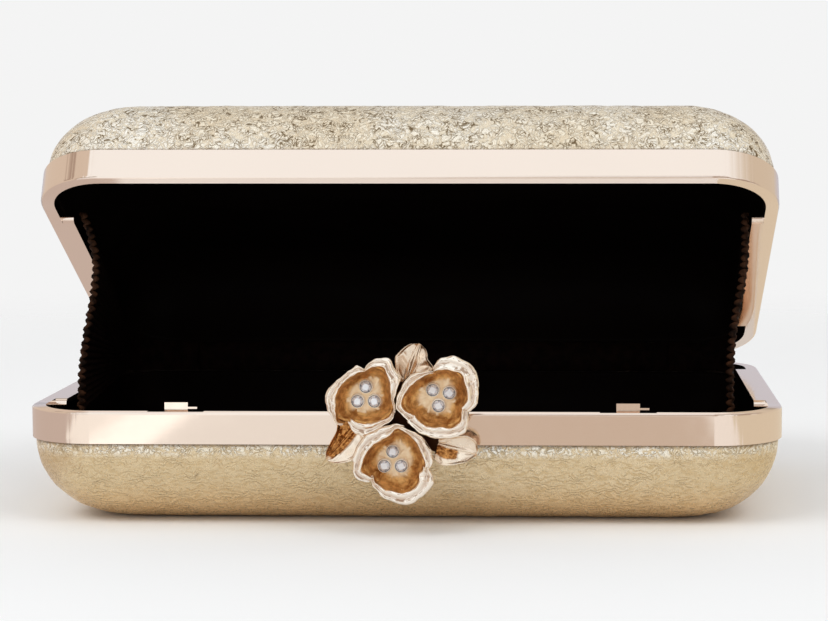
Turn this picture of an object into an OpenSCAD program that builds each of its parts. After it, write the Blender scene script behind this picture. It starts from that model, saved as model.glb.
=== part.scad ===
/* [Bag size] */
// Width of the bag, left to right
bag_w = 190; // [176:1:205]
// Depth of the bag, front to back
bag_d = 118; // [110:1:130]
// Height of one half, from its flat face to its rim
half_h = 29; // [27:0.5:33]
// Corner radius of the rim, seen from above
corner_r = 18; // [16:0.5:22]
// Angle at which the lid stands open, with the side gussets drawn out
open_angle = 28.5; // [22:0.5:32]
// Gap between the two rims when the bag is shut
mate_gap = 0.3; // [0.25:0.05:0.5]

/* [Moulded halves] */
// How far the sides curve in before they reach the flat face
belly_in = 20; // [16:0.5:24]
// Corner radius of the flat face
floor_r = 10; // [8:0.5:14]
// Thickness of the leather cover
cover_t = 0.7; // [0.6:0.05:0.9]
// Wall of the moulded inner shell
shell_t = 1.2; // [1:0.1:1.5]
// Thickness of the stiffened lining
lining_t = 0.8; // [0.6:0.05:1]
// Glue line between two layers
glue_gap = 0.05; // [0.03:0.01:0.08]

/* [Metal frame] */
// Height of the outer band
band_h = 7.8; // [7:0.1:9]
// Thickness of the outer band
band_t = 0.8; // [0.7:0.05:1]
// Thickness of the rim that joins the band to the lip
rim_t = 0.8; // [0.6:0.05:1]
// Rounding of the outer edge of the rim
edge_r = 0.55; // [0.4:0.05:0.6]
// Depth of the inner lip below the rim
lip_h = 3; // [2.5:0.1:4]
// Thickness of the inner lip
lip_t = 0.5; // [0.4:0.05:0.7]
// Room between the layers of a half and the frame around them
frame_fit = 0.1; // [0.08:0.01:0.15]

/* [Guide lugs] */
// Distance of each lug from the middle of the front
tab_x = 56; // [48:1:64]
// Width of a lug
tab_w = 5.8; // [4.5:0.1:7]
// Height of a lug above the rim
tab_h = 2.1; // [1.6:0.1:2.4]
// Sheet thickness of a lug
tab_t = 0.5; // [0.4:0.05:0.6]
// Step inwards that keeps a lug off the lid's lip
tab_step = 0.35; // [0.3:0.05:0.5]
// Width of the fold along the top of a lug
tab_fold = 1; // [0.7:0.1:1.4]
// Length of the thin foot beside a lug
foot_l = 2.3; // [1.5:0.1:3]
// Height of that foot above the rim
foot_z = 0.5; // [0.3:0.05:0.9]
// Length of the shallow relief in the rim at a lug
relief_l = 14; // [10:0.5:18]
// Width of that relief, measured from the inner edge of the rim
relief_w = 1.5; // [1:0.1:2]
// Depth of that relief
relief_d = 0.4; // [0.2:0.05:0.5]

/* [Gusset strips] */
// Distance of a strip's front end behind the front of the frame
strip_front = 27; // [24:0.5:30]
// Distance of a strip's rear end from the back of the frame
strip_back = 23; // [20:0.5:28]
// Width of a strip
strip_w = 3; // [2.4:0.1:3.4]
// Height of the leg that is fixed to the lip
strip_leg = 2.4; // [1.8:0.1:2.6]
// Sheet thickness of a strip
strip_t = 0.45; // [0.35:0.05:0.6]
// Radius of the curl at a strip's front end
curl_r = 1.5; // [1:0.1:2]

/* [Gussets] */
// Number of pleats in a side gusset
pleats = 27; // [12:1:28]
// Depth of a pleat at the front edge
pleat_d = 1; // [0.6:0.1:1.4]
// Thickness of the doubled fabric
gusset_t = 0.6; // [0.5:0.05:0.8]
// Room between a strip and the fabric beside it
gusset_gap = 0.3; // [0.25:0.05:0.5]
// How far a side gusset bows inwards between the two rims
gusset_bow = 3.6; // [2:0.1:4.5]
// How far its front edge stands in from the strip at the base
gusset_in = 2; // [1:0.1:3]
// How far the pleats stand back from the front end of the strips
gusset_back = 1.5; // [1:0.1:3]
// Angle by which the gusset reaches past each rim
gusset_tuck = 2.5; // [1.5:0.25:3]
// Half the width of the gusset along the back
back_half_w = 70; // [60:1:72]
// Angle by which the back gusset reaches past each rim
back_tuck = 25; // [15:1:26]

/* [Hinges] */
// Distance of each hinge from the middle of the back
hinge_x = 52; // [45:1:60]
// Width of a hinge
hinge_w = 24; // [18:1:28]
// Thickness of a hinge leaf
leaf_t = 0.8; // [0.6:0.05:1]
// Height of a hinge leaf
leaf_h = 5; // [4:0.1:5.4]
// Radius of a knuckle
knuckle_r = 1.6; // [1.4:0.05:1.8]
// Radius of a hinge pin
hinge_pin_r = 0.8; // [0.7:0.05:0.9]
// Running clearance round each pin
run_gap = 0.05; // [0.03:0.01:0.08]
// Clearance between parts that turn past each other
turn_gap = 0.3; // [0.25:0.05:0.4]
// Distance between the two rivets of a leaf
rivet_pitch = 15; // [11:0.5:18]
// Radius of a rivet's shank
rivet_r = 0.5; // [0.4:0.05:0.6]
// Radius of a rivet's head
rivet_head_r = 1.1; // [0.9:0.05:1.3]
// Height of a rivet's head
rivet_head_h = 0.5; // [0.4:0.05:0.6]

/* [Clasp] */
// Width of the clasp bracket's plate
bracket_w = 25; // [23.5:0.5:28]
// Height of the clasp bracket's plate
bracket_h = 5.6; // [5:0.1:6.4]
// Thickness of the clasp bracket
bracket_t = 0.6; // [0.5:0.05:0.7]
// Distance between the outer faces of the bracket's ears
ear_span = 16.8; // [15:0.2:18]
// Thickness of a bracket ear
ear_t = 1; // [0.8:0.05:1.2]
// Radius of the ears and lugs round the pin
ear_r = 1.4; // [1.25:0.05:1.5]
// Thickness of a lug of the clasp plate
lug_t = 1.2; // [1:0.05:1.4]
// Radius of the clasp pin
clasp_pin_r = 0.7; // [0.6:0.05:0.75]
// Depth of the clasp pin below the rim
clasp_pin_z = 4; // [3.6:0.1:4.4]
// Thickness of the clasp plate
plate_t = 0.8; // [0.7:0.05:1]
// Width of the hook that reaches over the lid's band
hook_w = 10; // [7:0.5:11]
// Thickness of the hook
hook_t = 0.9; // [0.7:0.05:1.2]
// Gap between the hook's tip and the band, with the clasp at rest
hook_gap = 0.15; // [0.1:0.01:0.2]
// Distance between the middle of each bracket rivet and the bag's middle
bracket_rivet_x = 10.7; // [10.2:0.1:11]

/* [Clasp spring] */
// Mean radius of the spring's coils
coil_r = 1.3; // [1.2:0.05:1.35]
// Thickness of the spring wire
wire_d = 0.4; // [0.3:0.05:0.4]
// Whole turns of the spring
coil_turns = 5; // [3:1:6]
// Distance from one turn to the next
coil_pitch = 1; // [0.9:0.05:1.2]
// Length of each straight leg
spring_leg = 4.5; // [3:0.25:5.5]
// Clearance between the spring and the plates it works against
spring_gap = 0.2; // [0.15:0.05:0.3]

/* [Flowers] */
// Distance between the two upper flowers
cluster_w = 17.5; // [16.5:0.1:19.5]
// Height from the lower flower up to the upper ones
cluster_h = 15.4; // [14.5:0.1:17]
// Radius of the left flower
left_r = 9.5; // [8.5:0.1:10.5]
// Radius of the right flower
right_r = 9.9; // [8.5:0.1:10.5]
// Radius of the lower flower
lower_r = 10.2; // [8.5:0.1:11]
// Height of a flower's rim above the clasp plate
bloom_h = 6.6; // [5.5:0.1:8]
// Height of a flower's inner floor above the clasp plate
bloom_floor = 1.7; // [1.4:0.1:2.2]
// Thickness of the petals at the rim
petal_t = 0.9; // [0.7:0.05:1.2]
// Height of the waves along a flower's rim
petal_wave = 0.7; // [0.3:0.1:1]
// Gap kept between two neighbouring flowers
bloom_gap = 0.3; // [0.25:0.05:0.5]
// Radius of the stem disc behind a flower
stem_r = 3.4; // [2.8:0.1:4]

/* [Leaves] */
// Length of the leaves
leaf_l = 11; // [9:0.5:13]
// Width of the leaves
leaf_w = 8; // [6:0.25:9]
// Thickness of a leaf
leaf_blade_t = 0.7; // [0.5:0.05:1]
// Height of the midrib fold
leaf_rib = 0.7; // [0.4:0.1:1.2]

/* [Stones] */
// Radius of a stone
stone_r = 1.25; // [1:0.05:1.3]
// Distance between neighbouring stones
stone_pitch = 4.1; // [3.6:0.05:4.4]
// Wall of a stone's setting
setting_wall = 0.35; // [0.25:0.05:0.4]
// Height of a stone's setting
setting_h = 1.3; // [1.1:0.05:1.5]
// Height of a stone above its seat
stone_h = 1.3; // [1.1:0.05:1.5]

/* [Hidden] */
$fn = 48;

// Colours, as the bag shows them
gold_leather = [0.77, 0.68, 0.54];
rose_gold = [0.89, 0.79, 0.70];
copper_gold = [0.80, 0.56, 0.33];
dark_lining = [0.07, 0.045, 0.035];
gusset_brown = [0.11, 0.07, 0.05];
grey_plastic = [0.25, 0.24, 0.23];
spring_steel = [0.62, 0.62, 0.64];
clear_stone = [0.86, 0.89, 0.93];

// Length that a cut runs past the face it opens
over = 0.5;
// Facets of each rounded corner, and of the curve from side to flat face
corner_steps = 8;
belly_steps = 8;

// Insets of the layers from the outside of the frame
cover_in = band_t + glue_gap;
shell_in = cover_in + cover_t + glue_gap;
lining_in = shell_in + shell_t + glue_gap;
lip_in = lining_in + frame_fit - glue_gap;
rim_w = lip_in + lip_t;
layers_top = half_h - rim_t - frame_fit;
lining_top = half_h - lip_h - frame_fit;

// Hinge line
hinge_y = bag_d / 2 + knuckle_r + turn_gap;
hinge_z = half_h + mate_gap / 2;
leaf_top_z = hinge_z - knuckle_r - turn_gap;
knuckle_l = (hinge_w - 2 * turn_gap) / 3;
leaf_mid_z = leaf_top_z - leaf_h / 2;

// Radius of the back gusset about the hinge line, and the share of a pleat's full depth
// at each step from the rear corner to the front edge of a side gusset
back_gusset_r = hinge_y - bag_d / 2 + rim_w + 3 * gusset_gap;
pleat_shares = [1, 0.67, 0.33, 0];
// Powers that set how fast a side gusset's front edge bows in and comes back to the lid's strip
bow_power = 2;
return_power = 4;

// Clasp places, measured from the front of the band and from the rim
spring_out_r = coil_r + wire_d / 2;
clasp_pin_off = bracket_t + spring_out_r + spring_gap;
plate_off = clasp_pin_off + spring_out_r + spring_gap;
hook_z = mate_gap + band_h + turn_gap;
lug_x = ear_span / 2 - ear_t - turn_gap - lug_t;
clasp_y = -bag_d / 2 - clasp_pin_off;
clasp_z = half_h - clasp_pin_z;

// Flower centres beside the bag's middle and above the rim: left, right, lower
bloom_x_shares = [-0.463, 0.537, -0.054];
bloom_z_shares = [0.334, 0.338, -0.666];
bloom_x = cluster_w * bloom_x_shares;
bloom_z = cluster_h * bloom_z_shares;
bloom_r = [left_r, right_r, lower_r];
// Petal count, depth of the dents between petals, and turn of each flower
petal_count = [4, 4, 3];
petal_share = 0.055;
petal_turn = [52, 20, 80];
// Turn of each group of three stones, and its place beside the flower's centre as a share
// of the flower's radius
stone_turn = [90, -100, 90];
stone_x_shares = [0.048, 0.097, -0.028];
stone_z_shares = [0.01, 0.012, -0.032];
// Profile of a flower from the middle of its floor round to its stem, as shares of
// its radius and of the height from floor to rim
inner_shares = [[0.56, 0], [0.66, 0.13], [0.78, 0.4], [0.9, 0.76], [1, 1]];
outer_shares = [[0.97, 0.9], [0.88, 0.58], [0.76, 0.3], [0.6, 0.075]];
bloom_facets = 36;
// Least share of a direction that points at a neighbour for a petal to be held back there,
// and height share at which the waves of the rim begin
facing_share = 0.2;
wave_start_share = 0.5;

// Leaf roots, and the direction in which each leaf points: top, left, right
leaf_root_x_shares = [0.066, -0.549, 0.514];
leaf_root_z_shares = [0.49, -0.198, -0.432];
leaf_root_x = cluster_w * leaf_root_x_shares;
leaf_root_z = cluster_h * leaf_root_z_shares;
leaf_turn = [79, 227, 2];
// Half width of a leaf along its length, and how far it lifts off the plate
leaf_half_shares = [0.3, 0.62, 0.88, 1, 0.98, 0.82, 0.5, 0.08];
leaf_lift = 1.3;

// Cut of a stone: shares of its height above the girdle and in it, and of its radius
// for the flat top and the small flat underneath
crown_share = 0.35;
girdle_share = 0.12;
top_share = 0.6;
foot_share = 1 / 3;

// Moulded layers: closed bowls between two offsets of one curved form

function corner_ring(w, d, r, z) = [
    for (c = [0:3]) for (i = [0:corner_steps])
        let (a = 90 * (c + i / corner_steps),
             sx = (c == 0 || c == 3) ? 1 : -1,
             sy = (c < 2) ? 1 : -1)
        [sx * (w / 2 - r) + r * cos(a), sy * (d / 2 - r) + r * sin(a), z]
];

// Ring of the form at angle phi, for a surface that lies off inside the cover's face
function form_ring(phi, off) =
    let (bend = 1 - cos(phi),
         inset = cover_in + off + (belly_in - off) * bend,
         r_top = corner_r - cover_in - off,
         r = r_top + (floor_r - r_top) * bend,
         z = half_h - band_h - (half_h - band_h - off) * sin(phi))
    corner_ring(bag_w - 2 * inset, bag_d - 2 * inset, r, z);

function top_ring(off, z) =
    let (inset = cover_in + off)
    corner_ring(bag_w - 2 * inset, bag_d - 2 * inset, corner_r - inset, z);

function side_faces(n, from, to) = [
    for (i = [0:n - 1]) let (j = (i + 1) % n)
        each [[from + i, from + j, to + i], [from + j, to + j, to + i]]
];

module bowl(off, t, top_z) {
    n = 4 * (corner_steps + 1);
    m = belly_steps + 2;
    outer = concat([top_ring(off, top_z)],
        [for (i = [0:belly_steps]) form_ring(90 * i / belly_steps, off)]);
    inner = concat([for (i = [belly_steps:-1:0]) form_ring(90 * i / belly_steps, off + t)],
        [top_ring(off + t, top_z)]);
    rings = concat(outer, inner);
    points = [for (r = rings) each r];
    walls = [for (i = [0:2 * m - 1]) if (i != m - 1)
        each side_faces(n, i * n, ((i + 1) % (2 * m)) * n)];
    flat_face = [for (i = [0:n - 1]) (m - 1) * n + i];
    floor_face = [for (i = [n - 1:-1:0]) m * n + i];
    polyhedron(points, concat(walls, [flat_face, floor_face]), convexity = 4);
}

// Metal frame: one bent section carried round the rim

module frame_section() {
    translate([-band_t, -band_h])
        square([band_t, band_h - edge_r]);
    translate([-rim_w, -rim_t])
        square([rim_w - edge_r, rim_t]);
    translate([-edge_r, -edge_r])
        intersection() {
            circle(r = edge_r);
            square(edge_r);
        }
    translate([-rim_w, -lip_h])
        square([lip_t, lip_h]);
}

module around_rim() {
    for (k = [0:3]) {
        reach = (k % 2 == 0) ? bag_w / 2 : bag_d / 2;
        run = (k % 2 == 0) ? bag_d - 2 * corner_r : bag_w - 2 * corner_r;
        rotate([0, 0, 90 * k]) {
            translate([reach, 0, half_h])
                rotate([90, 0, 0])
                    linear_extrude(height = run, center = true)
                        children();
            translate([reach - corner_r, run / 2, half_h])
                rotate_extrude(angle = 90)
                    translate([corner_r, 0])
                        children();
        }
    }
}

module rivet_holes_back() {
    for (s = [-1, 1]) for (e = [-1, 1])
        translate([s * hinge_x + e * rivet_pitch / 2, bag_d / 2 - band_t - glue_gap, leaf_mid_z])
            rotate([-90, 0, 0])
                cylinder(r = rivet_r + run_gap, h = band_t + leaf_t + 2 * over);
}

module frame() {
    difference() {
        around_rim()
            frame_section();
        rivet_holes_back();
    }
}

// Parts of the lid are drawn shut, mirrored over the mating plane, then swung open
module on_lid() {
    translate([0, hinge_y, hinge_z])
        rotate([-open_angle, 0, 0])
            translate([0, -hinge_y, hinge_z])
                mirror([0, 0, 1])
                    children();
}

module sides() {
    children();
    mirror([1, 0, 0])
        children();
}

// Frame fittings

module guide_lug() {
    step = rim_w + tab_step;
    translate([-tab_w / 2, -bag_d / 2, half_h])
        rotate([90, 0, 90])
            linear_extrude(height = tab_w)
                polygon([
                    [rim_w, -lip_h], [rim_w + tab_t, -lip_h],
                    [rim_w + tab_t, -2 * tab_step], [step + tab_t, -tab_step],
                    [step + tab_t, tab_h - tab_t], [step + tab_t + tab_fold, tab_h - tab_t],
                    [step + tab_t + tab_fold, tab_h], [step, tab_h],
                    [step, -tab_step], [rim_w, -2 * tab_step]
                ]);
    translate([tab_w / 2, step - bag_d / 2, half_h + foot_z])
        cube([foot_l, tab_t, tab_t]);
}

module gusset_strips() {
    front_y = strip_front - bag_d / 2;
    run = bag_d - strip_front - strip_back;
    sides()
        translate([bag_w / 2 - rim_w - strip_w, front_y, half_h]) {
            translate([0, 0, -strip_t])
                cube([strip_w, run, strip_t]);
            translate([strip_w - strip_t, 0, -strip_leg])
                cube([strip_t, run, strip_leg]);
            translate([0, 0, -curl_r])
                rotate([90, 0, 90])
                    linear_extrude(height = strip_w)
                        intersection() {
                            difference() {
                                circle(r = curl_r);
                                circle(r = curl_r - strip_t);
                            }
                            translate([-curl_r, 0])
                                square(curl_r);
                        }
        }
}

// Hinges

module knuckle(i) {
    x = i * (knuckle_l + turn_gap) - knuckle_l / 2;
    translate([x, hinge_y, hinge_z])
        rotate([0, 90, 0])
            cylinder(r = knuckle_r, h = knuckle_l);
    translate([x, bag_d / 2, leaf_top_z - leaf_t])
        cube([knuckle_l, leaf_t, hinge_z - leaf_top_z + leaf_t]);
}

module hinge_leaves(which) {
    difference() {
        for (s = [-1, 1])
            translate([s * hinge_x, 0, 0]) {
                translate([-hinge_w / 2, bag_d / 2, leaf_top_z - leaf_h])
                    cube([hinge_w, leaf_t, leaf_h]);
                for (i = which)
                    knuckle(i);
            }
        rivet_holes_back();
        translate([-bag_w / 2, hinge_y, hinge_z])
            rotate([0, 90, 0])
                cylinder(r = hinge_pin_r + run_gap, h = bag_w);
    }
}

module headed_pin(r, head_r, length, head_h) {
    translate([-length / 2, 0, 0])
        rotate([0, 90, 0]) {
            translate([0, 0, -head_h])
                cylinder(r = head_r, h = head_h);
            cylinder(r = r, h = length);
            translate([0, 0, length])
                cylinder(r = head_r, h = head_h);
        }
}

// Rivet with its head towards +Z and its seat at the origin
module rivet(shank) {
    dome_r = (rivet_head_r * rivet_head_r + rivet_head_h * rivet_head_h) / (2 * rivet_head_h);
    rotate_extrude()
        intersection() {
            translate([0, rivet_head_h - dome_r])
                circle(r = dome_r);
            square([rivet_head_r, rivet_head_h]);
        }
    translate([0, 0, -shank])
        cylinder(r = rivet_r, h = shank);
}

module hinge_rivets() {
    for (s = [-1, 1]) for (e = [-1, 1])
        translate([s * hinge_x + e * rivet_pitch / 2, bag_d / 2 + leaf_t, leaf_mid_z])
            rotate([-90, 0, 0])
                rivet(leaf_t + band_t);
}

// Gussets: fans that open about the hinge line

function fan_point(s, beta) = [hinge_y - s * cos(beta), hinge_z + s * sin(beta)];

module sheet(near, far, rows, cols) {
    points = concat([for (r = near) each r], [for (r = far) each r]);
    k = rows * cols;
    function at(i, j) = i * cols + j;
    skin = [for (i = [0:rows - 2]) for (j = [0:cols - 2])
        each [[at(i, j), at(i + 1, j), at(i, j + 1)],
              [at(i + 1, j), at(i + 1, j + 1), at(i, j + 1)]]];
    back = [for (f = skin) [k + f[0], k + f[2], k + f[1]]];
    rim = concat(
        [for (j = [0:cols - 1]) at(0, j)], [for (i = [1:rows - 1]) at(i, cols - 1)],
        [for (j = [cols - 2:-1:0]) at(rows - 1, j)], [for (i = [rows - 2:-1:1]) at(i, 0)]);
    m = len(rim);
    edge = [for (i = [0:m - 1]) let (a = rim[i], b = rim[(i + 1) % m])
        each [[a, b, k + a], [b, k + b, k + a]]];
    polyhedron(points, concat(skin, back, edge), convexity = 6);
}

// Line of a side gusset seen from above, from the strip's front end round the rear corner:
// place, bearing of the outer face, share of the full pleat and share of the back's tuck
function gusset_line() =
    let (x_rim = bag_w / 2 - rim_w - strip_w - gusset_gap,
         y_front = strip_front + gusset_back - bag_d / 2,
         y_turn = bag_d / 2 - corner_r,
         x_turn = bag_w / 2 - corner_r,
         y_end = hinge_y - back_gusset_r - gusset_gap,
         steps = corner_steps / 2)
    concat(
        [for (q = pleat_shares) [x_rim, y_turn + (y_front - y_turn) * q, 0, q, 0]],
        [for (i = [1:steps]) let (a = 90 * i / steps)
            [x_turn + (x_rim - x_turn) * cos(a), y_turn + (y_end - y_turn) * sin(a), a, 0, i / steps]],
        [[back_half_w + gusset_gap, y_end, 90, 0, 1]]);

module side_gusset() {
    rows = 2 * pleats + 1;
    line = gusset_line();
    function row(i, extra) = let (u = i / (rows - 1), fold = i % 2)
        [for (p = line)
            let (tuck = gusset_tuck + (back_tuck - gusset_tuck) * p[4],
                 beta = (open_angle + 2 * tuck) * u - tuck,
                 drape = gusset_in * (1 - pow(u, return_power)) + gusset_bow * sin(180 * pow(u, bow_power)),
                 inward = extra + (drape + pleat_d * fold) * p[3],
                 s = hinge_y - p[1] + inward * sin(p[2]) + pleat_d * fold * p[3] / 2,
                 q = fan_point(s, beta))
            [p[0] - inward * cos(p[2]), q[0], q[1]]];
    sheet([for (i = [0:rows - 1]) row(i, 0)], [for (i = [0:rows - 1]) row(i, gusset_t)],
        rows, len(line));
}

module back_gusset() {
    rows = 2 * corner_steps + 1;
    span = open_angle + 2 * back_tuck;
    function row(i, r) = let (p = fan_point(r, span * i / (rows - 1) - back_tuck))
        [[-back_half_w, p[0], p[1]], [0, p[0], p[1]], [back_half_w, p[0], p[1]]];
    sheet([for (i = [0:rows - 1]) row(i, back_gusset_r)],
        [for (i = [0:rows - 1]) row(i, back_gusset_r + gusset_t)], rows, 3);
}

// Clasp: a spring-loaded rocker that carries the flowers

module bracket_holes() {
    for (s = [-1, 1])
        translate([s * bracket_rivet_x, -bag_d / 2 + band_t + glue_gap, clasp_z])
            rotate([90, 0, 0])
                cylinder(r = rivet_r + run_gap, h = band_t + bracket_t + 2 * over);
}

module ear(x, t, seat) {
    translate([x, clasp_y, clasp_z])
        rotate([90, 0, 90])
            linear_extrude(height = t) {
                circle(r = ear_r);
                translate([min(seat, 0), -ear_r])
                    square([abs(seat), 2 * ear_r]);
            }
}

module pin_bore(r) {
    translate([-bracket_w / 2, clasp_y, clasp_z])
        rotate([0, 90, 0])
            cylinder(r = r, h = bracket_w);
}

// Places what lies on the clasp plate: its own Z is the way out from the bag's front
module on_plate(x, z) {
    translate([x, -bag_d / 2 - plate_off - plate_t, half_h + z])
        rotate([90, 0, 0])
            children();
}

module plate_outline() {
    for (i = [0:2])
        translate([bloom_x[i], bloom_z[i]])
            circle(r = stem_r + leaf_blade_t);
    for (i = [0:2])
        translate([leaf_root_x[i], leaf_root_z[i]])
            circle(r = leaf_w / 4);
    polygon([
        [bloom_x[0], bloom_z[0]], [leaf_root_x[0], leaf_root_z[0]],
        [bloom_x[1], bloom_z[1]], [leaf_root_x[2], leaf_root_z[2]],
        [bloom_x[2], bloom_z[2]], [leaf_root_x[1], leaf_root_z[1]]
    ]);
    translate([-hook_w / 2, 0])
        square([hook_w, hook_z + hook_t]);
}

// Spring wire: a leg up to the coil, the coil round the pin, and a leg down again

function spring_path() =
    let (n = 8, total = (coil_turns + 0.5) * n, half = (coil_turns + 0.5) * coil_pitch / 2)
    concat(
        [[-half, coil_r, -spring_leg]],
        [for (i = [0:total]) let (a = 360 * i / n)
            [-half + coil_pitch * i / n, coil_r * cos(a), coil_r * sin(a)]],
        [[half, -coil_r, -spring_leg]]);

module wire(path, d) {
    n = 6;
    m = len(path);
    function unit(v) = v / norm(v);
    function tangent(i) = unit(path[min(i + 1, m - 1)] - path[max(i - 1, 0)]);
    points = [for (i = [0:m - 1])
        let (t = tangent(i), u = unit(cross(t, [1, 0, 0])), v = cross(t, u))
        for (j = [0:n - 1]) path[i] + d / 2 * (cos(360 * j / n) * u + sin(360 * j / n) * v)];
    walls = [for (i = [0:m - 2]) each side_faces(n, i * n, (i + 1) * n)];
    cap_a = [for (j = [0:n - 1]) j];
    cap_b = [for (j = [n - 1:-1:0]) (m - 1) * n + j];
    polyhedron(points, concat([for (f = walls) [f[0], f[2], f[1]]], [cap_b, cap_a]), convexity = 8);
}

// Flowers: cupped blooms whose petals stop where the next flower begins

function bloom_limit(k, i, a) =
    let (dx = bloom_x[i] - bloom_x[k], dz = bloom_z[i] - bloom_z[k],
         away = norm([dx, dz]),
         facing = (dx * cos(a) + dz * sin(a)) / away,
         own = away * bloom_r[k] / (bloom_r[k] + bloom_r[i]) - bloom_gap / 2)
    facing > facing_share ? own / facing : 2 * bloom_r[k];

function bloom_radius(k, a) =
    min(concat(
        [bloom_r[k] * (1 - petal_share * (1 - cos(petal_count[k] * (a - petal_turn[k]))) )],
        [for (i = [0:2]) if (i != k) bloom_limit(k, i, a)]));

module bloom(k) {
    n = bloom_facets;
    rise = bloom_h - bloom_floor;
    back = bloom_floor - petal_t;
    profile = concat(
        [for (p = inner_shares) [p[0], bloom_floor + rise * p[1]]],
        [for (p = outer_shares) [p[0], back + (bloom_h - back) * p[1]]],
        [[stem_r / bloom_r[k], back], [stem_r / bloom_r[k], 0]]);
    m = len(profile);
    points = [for (p = profile) for (j = [0:n - 1])
        let (a = 360 * j / n,
             r = p[0] * (bloom_r[k] + (bloom_radius(k, a) - bloom_r[k]) * p[0] * p[0]),
             crest = max(0, p[1] / bloom_h - wave_start_share),
             wave = petal_wave * crest * cos(petal_count[k] * (a - petal_turn[k])))
        [r * cos(a), r * sin(a), p[1] + wave]];
    walls = [for (i = [0:m - 2]) each side_faces(n, i * n, (i + 1) * n)];
    floor_cap = [for (j = [n - 1:-1:0]) j];
    stem_cap = [for (j = [0:n - 1]) (m - 1) * n + j];
    on_plate(bloom_x[k], bloom_z[k])
        polyhedron(points, concat(walls, [floor_cap, stem_cap]), convexity = 6);
}

// Leaves: folded blades that lift off the plate towards their tips

module leaf(k) {
    m = len(leaf_half_shares);
    points = [for (i = [0:m - 1])
        let (u = i / (m - 1), x = leaf_l * u, w = leaf_w / 2 * leaf_half_shares[i],
             lift = leaf_lift * u * u, rib = leaf_rib * leaf_half_shares[i])
        each [[x, -w, lift + rib + leaf_blade_t], [x, 0, lift + leaf_blade_t], [x, w, lift + rib + leaf_blade_t],
              [x, w, lift + rib], [x, 0, lift], [x, -w, lift + rib]]];
    walls = [for (i = [0:m - 2]) each side_faces(6, i * 6, (i + 1) * 6)];
    root_cap = [for (j = [5:-1:0]) j];
    tip_cap = [for (j = [0:5]) (m - 1) * 6 + j];
    on_plate(leaf_root_x[k], leaf_root_z[k])
        rotate([0, 0, leaf_turn[k]])
            polyhedron(points, concat(walls, [root_cap, tip_cap]), convexity = 4);
}

// Stones in their settings, three to a flower

module at_stones() {
    for (k = [0:2]) for (i = [0:2])
        let (a = stone_turn[k] + 120 * i, r = stone_pitch / sqrt(3))
        on_plate(bloom_x[k] + bloom_r[k] * stone_x_shares[k] + r * cos(a),
            bloom_z[k] + bloom_r[k] * stone_z_shares[k] + r * sin(a))
            translate([0, 0, bloom_floor])
                children();
}

module setting() {
    seat = setting_h - stone_h / 2 - run_gap;
    difference() {
        cylinder(r = stone_r + run_gap + setting_wall, h = setting_h);
        translate([0, 0, seat - run_gap])
            cylinder(r = stone_r + run_gap, h = setting_h);
    }
}

module stone() {
    crown = crown_share * stone_h;
    girdle = girdle_share * stone_h;
    translate([0, 0, setting_h - stone_h / 2])
        rotate([0, 0, 22.5]) {
            cylinder(r1 = foot_share * stone_r, r2 = stone_r, h = stone_h - crown - girdle, $fn = 8);
            translate([0, 0, stone_h - crown - girdle])
                cylinder(r = stone_r, h = girdle, $fn = 8);
            translate([0, 0, stone_h - crown])
                cylinder(r1 = stone_r, r2 = top_share * stone_r, h = crown, $fn = 8);
        }
}

// Base half

module base_shell() {
    color(grey_plastic)
        bowl(shell_in - cover_in, shell_t, layers_top);
}

module base_cover() {
    color(gold_leather)
        bowl(0, cover_t, layers_top);
}

module base_frame() {
    color(rose_gold)
        difference() {
            frame();
            bracket_holes();
            for (s = [-1, 1])
                translate([s * tab_x - relief_l / 2, -bag_d / 2 + rim_w - relief_w, half_h - relief_d])
                    cube([relief_l, relief_w + over, relief_d + over]);
        }
}

module base_lining() {
    color(dark_lining)
        bowl(lining_in - cover_in, lining_t, lining_top);
}

module guide_lugs() {
    color(rose_gold)
        for (s = [-1, 1])
            translate([s * tab_x, 0, 0])
                guide_lug();
}

module gusset_strips_base() {
    color(rose_gold)
        gusset_strips();
}

module hinge_leaves_base() {
    color(rose_gold)
        hinge_leaves([-1, 1]);
}

module hinge_pins() {
    color(rose_gold)
        for (s = [-1, 1])
            translate([s * hinge_x, hinge_y, hinge_z])
                headed_pin(hinge_pin_r, hinge_pin_r + turn_gap, hinge_w + 2 * run_gap, turn_gap);
}

module hinge_rivets_base() {
    color(rose_gold)
        hinge_rivets();
}

module clasp_bracket() {
    seat = clasp_pin_off;
    color(rose_gold)
        difference() {
            union() {
                translate([-bracket_w / 2, -bag_d / 2 - bracket_t, clasp_z - bracket_h / 2])
                    cube([bracket_w, bracket_t, bracket_h]);
                ear(ear_span / 2 - ear_t, ear_t, seat);
                ear(-ear_span / 2, ear_t, seat);
            }
            pin_bore(clasp_pin_r + run_gap);
            bracket_holes();
        }
}

module bracket_rivets() {
    color(rose_gold)
        for (s = [-1, 1])
            translate([s * bracket_rivet_x, -bag_d / 2 - bracket_t, clasp_z])
                rotate([90, 0, 0])
                    rivet(bracket_t + band_t);
}

module clasp_pin() {
    color(rose_gold)
        translate([0, clasp_y, clasp_z])
            headed_pin(clasp_pin_r, clasp_pin_r + turn_gap, ear_span + 2 * run_gap, turn_gap);
}

module clasp_spring() {
    color(spring_steel)
        translate([0, clasp_y, clasp_z])
            wire(spring_path(), wire_d);
}

module gusset_left() {
    color(gusset_brown)
        mirror([1, 0, 0])
            side_gusset();
}

module gusset_right() {
    color(gusset_brown)
        side_gusset();
}

module gusset_back() {
    color(gusset_brown)
        back_gusset();
}

// Lid half

module lid_shell() {
    color(grey_plastic)
        on_lid()
            bowl(shell_in - cover_in, shell_t, layers_top);
}

module lid_cover() {
    color(gold_leather)
        on_lid()
            bowl(0, cover_t, layers_top);
}

module lid_frame() {
    color(rose_gold)
        on_lid()
            frame();
}

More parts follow.
